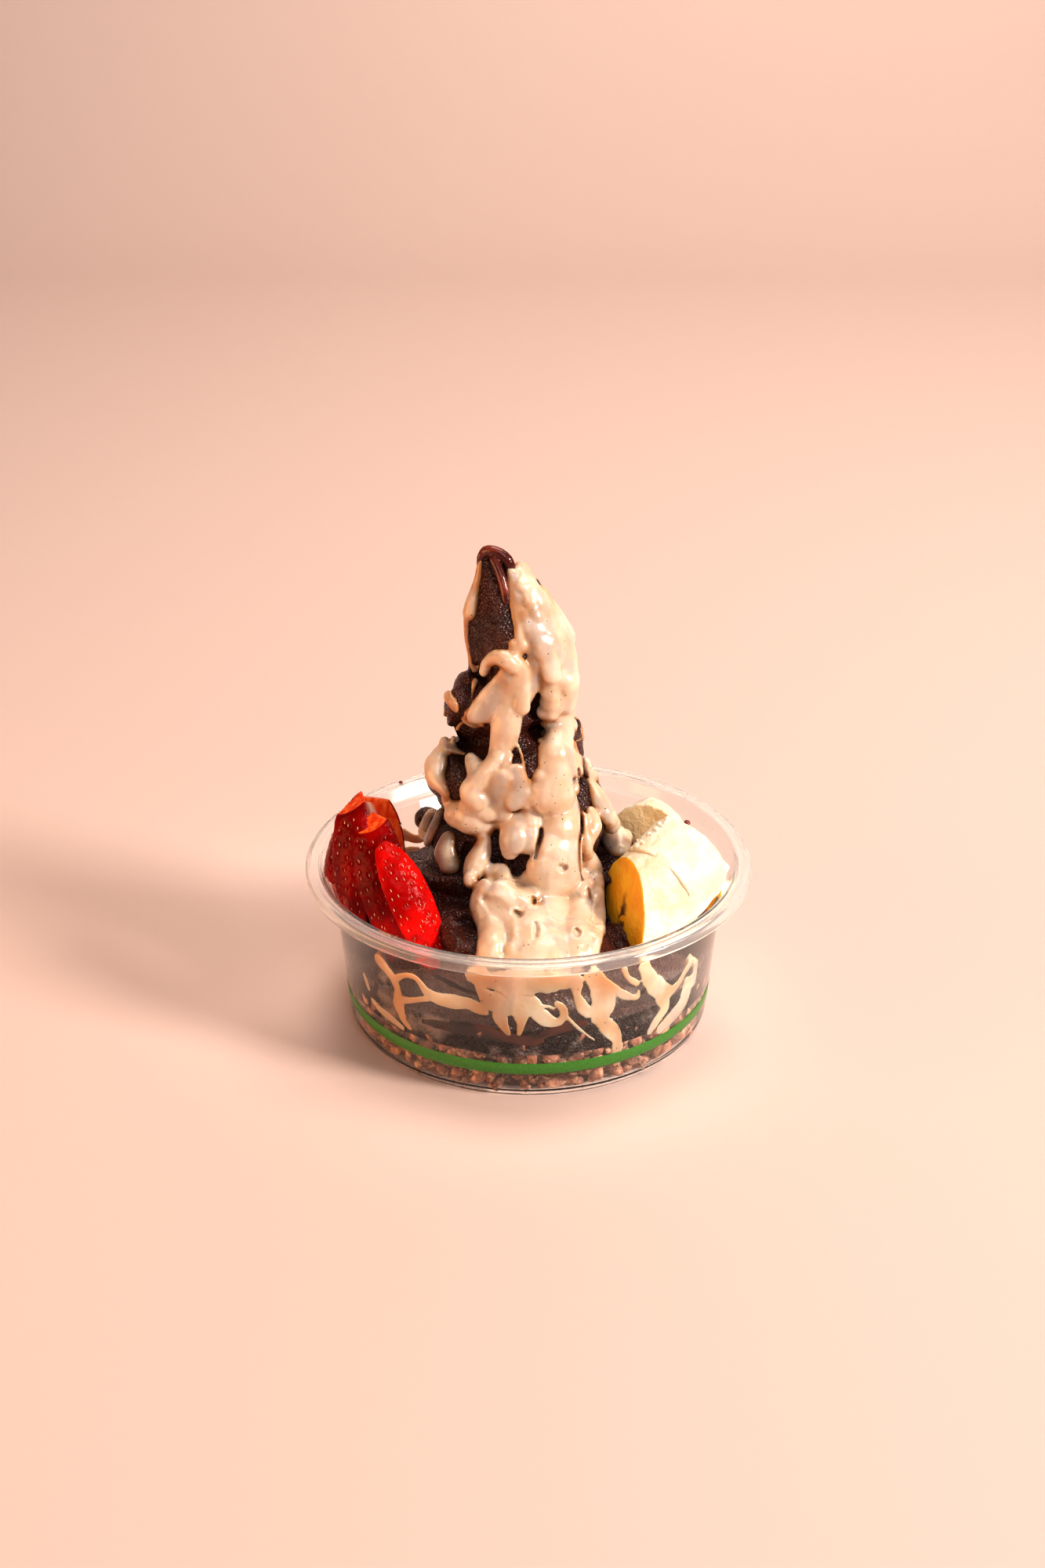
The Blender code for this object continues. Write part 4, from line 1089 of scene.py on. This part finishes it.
def butter():
    drops, films = back_drips(acai_tree), []
    for lift, rows in BUTTER:
        drops += strand(lift, rows, acai_tree, SERVER)
    for values in BUTTER_SHEETS:
        drops += sheet(*values, acai_tree)
    for lift, rows in BUTTER_FILMS:
        films += strand(lift, rows, acai_tree, SERVER)
    skin = fused(drops_mesh("butter_drops", drops + films), BUTTER_VOXEL, "nut_butter", 3)
    places, ways = corners_of(skin), corners_of(skin, "normal")
    for i, place in enumerate(places):
        spot = Vector(place)
        spot.z *= 0.45
        wave = noise.noise(spot / (4 * MM)) + 0.4 * noise.noise(spot / (1.6 * MM))
        places[i] += ways[i] * wave * BUTTER_WAVE
    set_corners(skin, places)
    pressed(skin, BUTTER_DIMPLES)
    held_inside(skin, ACAI_BOTTOM, SWIRL_TOP)
    near = KDTree(len(drops) + len(films))
    for i, (place, _, width, _) in enumerate(drops + films):
        near.insert(place, i)
    near.balance()
    thin = np.zeros(len(skin.vertices), np.float32)
    for i, place in enumerate(corners_of(skin)):
        _, nearest, away = near.find(place)
        if nearest >= len(drops):
            width = films[nearest - len(drops)][2]
            thin[i] = max(0, 1 - away / (width * 0.6))
    depths = []
    for place, way in zip(corners_of(skin), corners_of(skin, "normal")):
        # Surfaces that face down store a smaller depth, so the finish paints them amber: painted shade
        # under the butter.
        facing_up = min(max((way[2] + 0.75) / 1.1, 0), 1)
        depths.append(acai_tree.find_nearest(place)[3] / BUTTER_FULL_DEPTH * (0.3 + 0.7 * facing_up))
    store(skin, thin=thin, depth=depths)
    skin.shade_smooth()
    return skin


nut_butter = butter_finish()
pour = add_piece("nut_butter", butter(), nut_butter)
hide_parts("acai_swirl")

# Wall smears: before the acai went in, nut butter was swirled round the inside of the clear wall. It
# shows through it as flat loops, bands and runs, with thinner films where it was wiped, and dark
# glossy folds of acai pressed against the sheet between them.
SMEARS = (  # (across, height, width) rows in mm on the middle plane, met at the front wall
    ((-41, 13, 4), (-39, 10, 3.5), (-37, 6.5, 3.5), (-36, 3, 3), (-36, 0, 4), (-35.5, -3, 4),
        (-34.5, -6.5, 3), (-33, -9, 2)),
    ((-37, 6.5, 2.5), (-34.5, 8, 2), (-31.5, 7.5, 2), (-29.5, 5, 2.2), (-28, 2.5, 3), (-25, 0.5, 4),
     (-21, -0.5, 5), (-17, -1, 4.5), (-14, -2.5, 4), (-12, -4, 2)),
    ((-36, 0, 3), (-32, 0, 2), (-28, 0.5, 2)),
    ((-14, 5, 2), (-12.5, 2.5, 3.5), (-10, 0, 6), (-6, -1, 8), (-2, -1, 8), (1, -2, 6)),
    ((-6, 3, 3), (-4, 1.5, 3), (-2, 4, 3)),
    ((-8, -5, 4), (-7, -8, 3), (-5.5, -11, 1.5)),
    ((-2, -5, 4), (-2, -8, 2.5), (-2.5, -11, 1.5)),
    ((1, -2, 5), (3.5, -5, 4.5), (6, -7, 3.5), (8.5, -7, 3), (10, -5, 2.5), (9.5, -2.5, 2.5),
        (8, -1, 1.5)),
    ((3, -2, 1.5), (5.5, -2, 1.2), (7, -2.8, 1)),
    ((10, -4.5, 1), (13, -8, 1.2), (16, -11, 1), (18.5, -13, 0.8)),
    ((18, 8, 5), (20, 4, 6), (21, 0, 7), (20.5, -3, 7), (20, -6, 5), (22.5, -9, 5), (24.5, -12, 4),
     (25, -15, 3.5), (24.5, -19, 3)),
    ((13.5, 6, 3.5), (13.5, 2, 2.5), (15, -2, 3.5), (16.5, -4.5, 3)),
    ((21, 6, 3), (24, 3.5, 3), (27, 1.5, 2.5), (30, 1, 2), (30.5, 3, 1.2)),
    ((26.5, 10, 2), (27.5, 7.5, 2), (30, 5.5, 2)),
    ((32, 11, 4), (33.5, 7, 5), (36, 4, 6), (38.5, 2.5, 5), (41, 5, 3), (43, 9, 2.5), (45, 13, 2)),
    ((37, 1, 5), (38, -2, 4), (36, -6, 3.5), (34, -10, 3)),
    ((-15, 8, 5), (-10, 6.5, 6), (-4, 6, 7), (2, 6, 7), (8, 6, 6), (13, 7, 4)),
)
WIPED_SMEARS = (
    ((-43, 0, 2), (-41, -3, 3), (-38, -6, 3), (-35, -9, 2)),
    ((-45, 8, 2), (-44, 4, 2)),
    ((44, 6, 5), (43, 0, 6), (40, -5, 5), (37, -9, 4)),
    ((46, 12, 3), (45.5, 6, 3)),
)
WALL_FOLDS = (
    ((-29, -7, 2), (-20, -9, 4.4), (-12, -10.5, 5), (-5, -12.5, 4.4), (1, -13.4, 3.6), (4, -13.5, 1.4)),
    ((2, -12.4, 1.6), (6, -10.6, 3.4), (10, -9, 3.6), (16, -7.5, 1.6)),
    ((-29, 10, 1), (-24, 7, 1.6), (-18, 3.4, 1.6), (-14, 2, 1)),
    ((2, 2, 1), (6, 4, 1.4), (11, 5.5, 1)),
    ((-44, -2, 1.4), (-42, 4, 2), (-42, 10, 1.4)),
)
SMEAR_DEPTH = 0.4 * MM
SMEAR_VOXEL = 0.32 * MM
SMEAR_REACH = 0.22 * MM
SMEAR_TONE = 0.4
FOLD_REACH = 0.15 * MM
BACK_SMEARS = 9
SMEAR_SEED = 21


def front_of_wall():
    """The inside of the clear wall, as a surface to lay smears on."""
    heights = np.linspace(0, SHOULDER_HEIGHT, 20)
    wall = lathe("wall", [(wall_inside(max(height, FOOT_HEIGHT)), height) for height in heights], 128)
    return skin_tree(wall)


def wall_drops(rows, wall):
    found = on_sight_line(rows, wall, SERVER, 0.6 * MM)
    drops = []
    for place, _, width in found:
        outward = Vector((place.x, place.y, 0)).normalized()
        wide = width * (1 + 0.25 * noise.noise(place / (3 * MM)))
        drops.append((place, outward, wide, SMEAR_DEPTH))
    return drops


def round_the_back(drops):
    """The same kind of loops and runs round the rest of the wall, by a seeded rule."""
    draw = random.Random(SMEAR_SEED)
    for i in range(BACK_SMEARS):
        start = math.radians(10 + i * 160 / (BACK_SMEARS - 1))
        height = draw.uniform(24, 36)
        width = draw.uniform(2, 4.4)
        steps = draw.randint(26, 48)
        slope, swing = draw.uniform(-0.55, 0.1), draw.uniform(1, 3)
        for step in range(steps):
            turn = start + step * 0.011
            level = (height + slope * step * 0.5 + swing * math.sin(step * 0.21 + i)) * MM
            level = min(max(level, 17 * MM), 39 * MM)
            outward = Vector((math.cos(turn), math.sin(turn), 0))
            place = outward * wall_inside(level) + Vector((0, 0, level))
            wide = width * (1 + 0.4 * noise.noise(place / (6 * MM))) * MM
            drops.append((place, outward, wide, SMEAR_DEPTH))


def smear_piece(name, drops, finish, reach, thin):
    skin = fused(drops_mesh(name, drops), SMEAR_VOXEL, name, 1)
    held_inside(skin, ACAI_BOTTOM - 6 * MM, SHOULDER_HEIGHT, reach)
    depths = []
    # The stored depth here is a tone, lower towards the left, so the smears run more amber on that side.
    for place in corners_of(skin):
        depths.append(SMEAR_TONE + 0.3 * noise.noise(Vector(place) / (8 * MM)) + place[0] * 2.4)
    store(skin, thin=np.full(len(depths), thin), depth=depths)
    skin.shade_smooth()
    piece = add_piece(name, skin, finish)


def wall_smears():
    wall = front_of_wall()
    smears = [drop for rows in SMEARS for drop in wall_drops(rows, wall)]
    round_the_back(smears)
    smear_piece("wall_smears", smears, nut_butter, SMEAR_REACH, 0)
    wiped = [drop for rows in WIPED_SMEARS for drop in wall_drops(rows, wall)]
    smear_piece("wiped_smears", wiped, nut_butter, SMEAR_REACH, 0.5)
    folds = [drop for rows in WALL_FOLDS for drop in wall_drops(rows, wall)]
    pressed_acai = fold_finish("pressed_acai", (0.012, 0.003, 0.0015), (0.09, 0.018, 0.008))
    smear_piece("wall_folds", folds, pressed_acai, FOLD_REACH, 0)


wall_smears()

# Strawberries: ripe berries cut lengthwise and fanned against the left wall. Red skin with seeds set
# in small pits on one side, paler wet flesh with a white core on the two cut sides.
# Stem end, tip, way the skin faces, berry width, half angle, share where the top is cut, its lean.
STRAWBERRIES = {
    "strawberry_front": ((-39.4, -23.6, 62.4), (-21.2, -38.4, 24),
        (0.45, -0.85, 0.2), 20, 50, 0.97, (-0.3, -0.3, 1)),
    "strawberry_middle": ((-41, -10, 66.6), (-29, -33, 23), (-0.1, -0.95, 0.25), 25, 46, 0.9,
        (0.8, -0.1, 1)),
    "strawberry_left": ((-43, -5, 72.6), (-42.5, -27, 25), (-0.4, -0.88, 0.2), 21.5, 40, 0.87,
        (0.9, -0.35, 1)),
    "strawberry_far": ((-46, -17, 33), (-43, 0, 65), (-0.9, -0.4, 0.1), 21, 62, 0.97, (0, 0, 1)),
    "strawberry_back": ((-45.4, -3, 67.5), (-35, -13, 42), (0.3, 0.85, 0.3), 16.5, 60, 0.86,
        (0.3, -0.4, 1)),
}
BERRY_CORE = 0.08
SEED_LENGTH = 0.85 * MM
SEED_SPACING = 2.5 * MM
PIT_DEPTH = 0.28 * MM
SEED_SCATTER = 0.22
SEED_SHAPE = (0.36, 0.3, 1)
BERRY_VOXEL = 0.4 * MM
GOLDEN_TURN = 2.39996


def aim(start, end, facing):
    up = (start - end).normalized()
    front = (facing - facing.project(up)).normalized()
    side = up.cross(front)
    turn = Matrix((front, side, up)).transposed().to_4x4()
    return Matrix.Translation((start + end) / 2) @ turn


def berry_radius(share, width):
    """Radius at a share of the height, 0 at the tip and 1 at the stem."""
    round_part = math.sqrt(max(0, 1 - (2 * share - 1) ** 2))
    return round_part * (0.62 + 0.55 * share - 0.12 * share**3) * width / 2


def slice_off(shape, place, normal):
    geometry = shape.verts[:] + shape.edges[:] + shape.faces[:]
    cut = {"plane_co": place, "plane_no": normal, "clear_outer": True}
    done = bmesh.ops.bisect_plane(shape, geom=geometry, **cut)
    rim = [part for part in done["geom_cut"] if isinstance(part, bmesh.types.BMEdge)]
    bmesh.ops.holes_fill(shape, edges=rim, sides=0)


def berry_finish(name, dark, light):
    """Wet red skin outside, orange flesh with a white core where it is cut."""
    made, tree, shader = new_finish(name, 0.22)
    red = mix_colour(tree, remap(tree, feature_noise(tree, 8 * MM, 2.0), 0.35, 0.7), dark, light)
    streaks = remap(tree, feature_noise(tree, 1.5 * MM, 3.0, (1, 1, 0.3)), 0.35, 0.7)
    flesh = mix_colour(tree, streaks, (0.7, 0.05, 0.006), (0.85, 0.2, 0.04))
    core = remap(tree, stored(tree, "core"), 0.35, 0.62)
    flesh = mix_colour(tree, core, flesh, (0.88, 0.72, 0.6))
    inputs = {
        "Base Color": mix_colour(tree, remap(tree, stored(tree, "skin"), 0.4, 0.7), flesh, red),
        "Specular IOR Level": 0.1,
        "Subsurface Weight": 0.1,
        "Subsurface Radius": (1, 0.12, 0.05),
        "Subsurface Scale": 2 * MM,
    }
    set_inputs(tree, shader, inputs)
    relief(tree, shader, (feature_noise(tree, 1.2 * MM, 2.0), 0.25 * MM))
    return made


def seed_finish():
    made, tree, shader = new_finish("strawberry_seed", 0.35)
    tint = remap(tree, feature_noise(tree, 3 * MM), 0.4, 0.6)
    body = mix_colour(tree, tint, (0.46, 0.1, 0.05), (0.85, 0.48, 0.26))
    set_inputs(tree, shader, {"Base Color": body})
    return made


def seed_tree(finish):
    """Sets one seed on each point, along the point's own turn."""
    tree, start, names = new_tree("strawberry_seeds", "Pits", "Seeds", {"Seed length": "Float"})
    ball = node(tree, "GeometryNodeMeshIcoSphere", {"Radius": 0.5, "Subdivisions": 2})
    seed = node(tree, "GeometryNodeTransform", {"Geometry": ball.outputs["Mesh"], "Scale": SEED_SHAPE})
    turn = node(tree, "GeometryNodeInputNamedAttribute", {"Name": "turn"}, data_type="FLOAT_VECTOR")
    inputs = {
        "Points": start["Pits"],
        "Instance": seed.outputs["Geometry"],
        "Rotation": turn.outputs[0],
        "Scale": start["Seed length"],
    }
    place = node(tree, "GeometryNodeInstanceOnPoints", inputs)
    real = node(tree, "GeometryNodeRealizeInstances", {"Geometry": place.outputs["Instances"]})
    painted(tree, real.outputs["Geometry"], finish)
    return tree, names["Seed length"]


def strawberry(name, stem, tip, facing, width, half_angle, top, lean):
    """A wedge of a berry, in the CAD piece's place, and the places of its seeds."""
    stem, tip, width = Vector(stem) * MM, Vector(tip) * MM, width * MM
    length = (stem - tip).length
    shape = bmesh.new()
    bmesh.ops.create_uvsphere(shape, u_segments=72, v_segments=48, radius=1)
    for vert in shape.verts:
        share = (vert.co.z + 1) / 2
        swell = (0.62 + 0.55 * share - 0.12 * share**3) * width / 2
        vert.co = (vert.co.x * swell, vert.co.y * swell, vert.co.z * length / 2)
    angle = math.radians(half_angle)
    core = Vector((BERRY_CORE * width, 0, 0))
    for side in (-1, 1):
        slice_off(shape, core, Vector((-math.sin(angle), side * math.cos(angle), 0)))
    top_place, top_way = Vector((0.2 * width, 0, (top - 0.5) * length)), Vector(lean).normalized()
    slice_off(shape, top_place, top_way)
    bmesh.ops.recalc_face_normals(shape, faces=shape.faces)
    mesh = bpy.data.meshes.new(name)
    shape.to_mesh(mesh)
    shape.free()
    mesh = fused(mesh, BERRY_VOXEL, name, 2)
    pits = KDTree(400)
    draw = random.Random(name)
    seeds = []
    count = int(math.pi * width * length / SEED_SPACING**2 * 0.8)
    for i in range(count):
        share = (i + 0.5) / count * 0.9 + 0.05 + draw.uniform(-0.02, 0.02)
        turn = i * GOLDEN_TURN + draw.uniform(-SEED_SCATTER, SEED_SCATTER) * 0.6
        radius = berry_radius(share, width)
        spot = Vector((radius * math.cos(turn), radius * math.sin(turn), (share - 0.5) * length))
        offset = spot - core
        if offset.x * math.sin(angle) < abs(offset.y) * math.cos(angle) + 0.9 * MM:
            continue
        if (spot - top_place).dot(top_way) > -0.8 * MM:
            continue
        seeds.append((spot, turn))
        pits.insert(spot, len(seeds) - 1)
    pits.balance()
    places, ways = corners_of(mesh), corners_of(mesh, "normal")
    skin, middle = np.zeros(len(places)), np.zeros(len(places))
    for i, place in enumerate(places):
        share = min(max(place[2] / length + 0.5, 0), 1)
        radius = max(berry_radius(share, width), 0.3 * MM)
        out = math.hypot(place[0], place[1]) / radius
        skin[i] = min(max((out - 0.9) / 0.08, 0), 1)
        if (Vector(place) - top_place).dot(top_way) < -1 * MM:
            middle[i] = min(max(1 - out * 1.6, 0), 1)
        if skin[i] > 0.5 and seeds:
            _, _, away = pits.find(place)
            dent = max(0, 1 - (away / (0.95 * MM)) ** 2)
            places[i] -= ways[i] * dent * PIT_DEPTH
    set_corners(mesh, places)
    store(mesh, skin=skin, core=middle)
    placed = aim(stem, tip, Vector(facing))
    mesh.transform(placed)
    mesh.shade_smooth()
    turns = []
    for spot, turn in seeds:
        sideways = Matrix.Rotation(turn, 4, "Z")
        turns.append(placed @ Matrix.Translation(spot) @ sideways)
    return mesh, turns


def strawberries():
    # Two copies of one skin: the front wedge gets a bright red as painted light, the others a dark red
    # as painted shade.
    shaded_berry = berry_finish("shaded_red_berry", (0.15, 0.0005, 0.0004), (0.36, 0.0015, 0.001))
    lit_berry = berry_finish("lit_red_berry", (0.4, 0.0015, 0.001), (0.74, 0.006, 0.003))
    seed_turns = []
    for name, values in STRAWBERRIES.items():
        mesh, turns = strawberry(name, *values)
        held_inside(mesh, ACAI_BOTTOM, SWIRL_TOP, -0.3 * MM)
        seed_turns += turns
        piece = add_piece(name + "_wedge", mesh, lit_berry if name == "strawberry_front" else shaded_berry)
        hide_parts(name)
    points = bpy.data.meshes.new("seed_points")
    points.from_pydata([turn.translation for turn in seed_turns], [], [])
    angles = [value for turn in seed_turns for value in turn.to_euler()]
    points.attributes.new("turn", "FLOAT_VECTOR", "POINT").data.foreach_set("vector", angles)
    scatter = helper("seed_points", points)
    tree, length = seed_tree(seed_finish())
    modifier = scatter.modifiers.new("Seeds", "NODES")
    modifier.node_group = tree
    modifier[length] = SEED_LENGTH
    seeds = plain_mesh(scatter, "strawberry_seeds")
    held_inside(seeds, ACAI_BOTTOM, SWIRL_TOP, -0.25 * MM)
    seeds.shade_smooth()
    piece = add_piece("strawberry_seeds", seeds)


strawberries()

# Bananas: peeled chunks cut across at a slant and piled at the right wall. The flesh is pale and
# slightly ribbed, golden where it was cut, the gold partly oxidised flesh and partly painted shade, with
# a dark line of seeds down the middle of the cut.
BANANAS = {  # near face middle, far face middle, near normal, far normal, diameter
    "banana_front": ((23.8, -26, 37.8), (35.6, -17.6, 44.8), (-0.9, -0.36, 0.2),
        (0.68, 0.66, 0.3), 25.8),
    "banana_middle": ((33.8, -19.2, 44.6), (42, -9.3, 48), (-0.68, -0.66, -0.3),
        (0.6, 0.78, 0.2), 25.2),
    "banana_back": ((30.6, 8, 42.4), (35.6, 14, 42.2), (-0.4, -0.88, 0.3), (0.65, 0.72, -0.1), 22.6),
    "banana_side": ((46.6, -13, 41), (49, -6, 42), (-0.5, -0.8, 0.1), (0.3, 0.93, 0.1), 12),
}
BANANA_BOW = 1.5 * MM
BANANA_VOXEL = 0.45 * MM
BANANA_PALE_CUT = 0.38 * MM
BANANA_SEED_LIFT = 0.5 * MM


def banana_finish():
    """Pale flank, golden cut (partly painted shade), and a broken dark line of seeds down its middle."""
    made, tree, shader = new_finish("banana_flesh", 0.45)
    broad = remap(tree, feature_noise(tree, 7 * MM, 3.0), 0.35, 0.65)
    flank = mix_colour(tree, broad, (0.84, 0.72, 0.5), (0.9, 0.82, 0.64))
    # Gold on the cut faces: partly oxidised flesh, partly painted shade.
    gold = mix_colour(tree, broad, (0.88, 0.42, 0.006), (0.94, 0.55, 0.02))
    broken = remap(tree, feature_noise(tree, 2.2 * MM, 3.0), 0.42, 0.55)
    seeded = product(tree, remap(tree, stored(tree, "middle"), 0.78, 0.93), broken)
    gold = mix_colour(tree, seeded, gold, (0.09, 0.03, 0.008))
    inputs = {
        "Base Color": mix_colour(tree, remap(tree, stored(tree, "cut"), 0.3, 0.7), flank, gold),
        "Subsurface Weight": 0.25,
        "Subsurface Radius": (1, 0.6, 0.25),
        "Subsurface Scale": 2 * MM,
    }
    set_inputs(tree, shader, inputs)
    relief(tree, shader, (feature_noise(tree, 1.6 * MM, 4.0), 0.4 * MM))
    return made


def banana(name, near, far, near_normal, far_normal, diameter):
    near, far = Vector(near) * MM, Vector(far) * MM
    near_normal, far_normal = Vector(near_normal).normalized(), Vector(far_normal).normalized()
    way = (far - near).normalized()
    reach = diameter * MM
    start = near - way * reach
    points = []
    for i in range(25):
        share = i / 24
        bow = Vector((0, 0, BANANA_BOW * math.sin(math.pi * share)))
        points.append((start + (far + way * reach - start) * share + bow, reach / 2))
    mesh = rope(points)
    shape = bmesh.new()
    shape.from_mesh(mesh)
    bmesh.ops.remove_doubles(shape, verts=shape.verts, dist=0.002 * MM)
    slice_off(shape, near, near_normal)
    slice_off(shape, far, far_normal)
    bmesh.ops.recalc_face_normals(shape, faces=shape.faces)
    shape.to_mesh(mesh)
    shape.free()
    mesh = fused(mesh, BANANA_VOXEL, name, 2)
    places, ways = corners_of(mesh), corners_of(mesh, "normal")
    cut, middle = np.zeros(len(places)), np.zeros(len(places))
    side = way.orthogonal().normalized()
    up = (Vector((0, 0, 1)) - way * way.z).normalized()
    for i, place in enumerate(places):
        spot = Vector(place)
        depth = abs((spot - near).dot(near_normal))
        if name != "banana_front":
            depth = min(depth, abs((spot - far).dot(far_normal)))
        if name in ("banana_middle", "banana_back"):
            depth += BANANA_PALE_CUT
        cut[i] = min(max(1 - depth / (0.7 * MM), 0), 1)
        axis = near + way * (spot - near).dot(way)
        around = spot - axis
        upright = around.dot(up) - BANANA_SEED_LIFT
        middle[i] = max(0, 1 - math.hypot(around.dot(way.cross(up)), upright * 0.32) / (reach / 2))
        turn = math.atan2(around.dot(way.cross(side)), around.dot(side))
        rib = 0.22 * math.cos(turn * 5) + 0.5 * noise.noise(spot / (6 * MM))
        places[i] += ways[i] * rib * MM * (1 - cut[i])
    set_corners(mesh, places)
    store(mesh, cut=cut, middle=middle)
    mesh.shade_smooth()
    return mesh


banana_flesh = banana_finish()
banana_trees = {}
for name, values in BANANAS.items():
    chunk = banana(name, *values)
    held_inside(chunk, ACAI_BOTTOM, SWIRL_TOP, -0.3 * MM)
    banana_trees[name] = skin_tree(chunk)
    piece = add_piece(name + "_chunk", chunk, banana_flesh)
    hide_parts(name)

# Crumbs and beads: bits of banana torn off where the knife came through, and small dark beads of melted
# acai that dripped on the banana and the far lip. Each lies where the server's line of sight meets what
# carries it.
BANANA_CRUMBS = ((29.6, 49.6), (31, 50.8), (32.6, 52.2), (34, 53.6), (35.6, 55), (37.2, 56.4))
CRUMB_WIDTH = 1.7 * MM
CRUMB_SEED = 8
BEADS = ((42.5, 55, 2.1), (-33.9, 67.1, 1.2))


def crumbs():
    draw = random.Random(CRUMB_SEED)
    drops = []
    for across, height in BANANA_CRUMBS:
        for _ in range(3):
            aimed = Vector((across + draw.uniform(-0.6, 0.6), 0, height + draw.uniform(-2, 0.4))) * MM
            wide = CRUMB_WIDTH * draw.uniform(0.5, 1.1)
            met = [tree.ray_cast(SERVER, aimed - SERVER) for tree in banana_trees.values()]
            met = sorted((away, place, normal) for place, normal, _, away in met if place)
            if met:
                drops.append((met[0][1], met[0][2], wide, wide * draw.uniform(0.3, 0.55)))
    mesh = fused(drops_mesh("banana_crumbs", drops), 0.22 * MM, "banana_crumbs", 1)
    for label in ("cut", "middle"):
        mesh.attributes.new(label, "FLOAT", "POINT")
    mesh.shade_smooth()
    piece = add_piece("banana_crumbs", mesh, banana_flesh)


def beads():
    """Dark beads of melted acai that dripped on the banana and the far lip."""
    carriers = [*banana_trees.values(), skin_tree(bowl.data)]
    drops = []
    for across, height, size in BEADS:
        way = (Vector((across, 0, height)) * MM - SERVER).normalized()
        met = [tree.ray_cast(SERVER, way) for tree in carriers]
        met = sorted((away, place, normal) for place, normal, _, away in met if place)
        if met:
            drops.append((met[0][1], met[0][2], size * MM, size * MM * 0.5))
    mesh = fused(drops_mesh("acai_beads", drops), 0.15 * MM, "acai_beads", 2)
    mesh.shade_smooth()
    piece = add_piece("acai_beads", mesh, melted_acai)


beads()
crumbs()
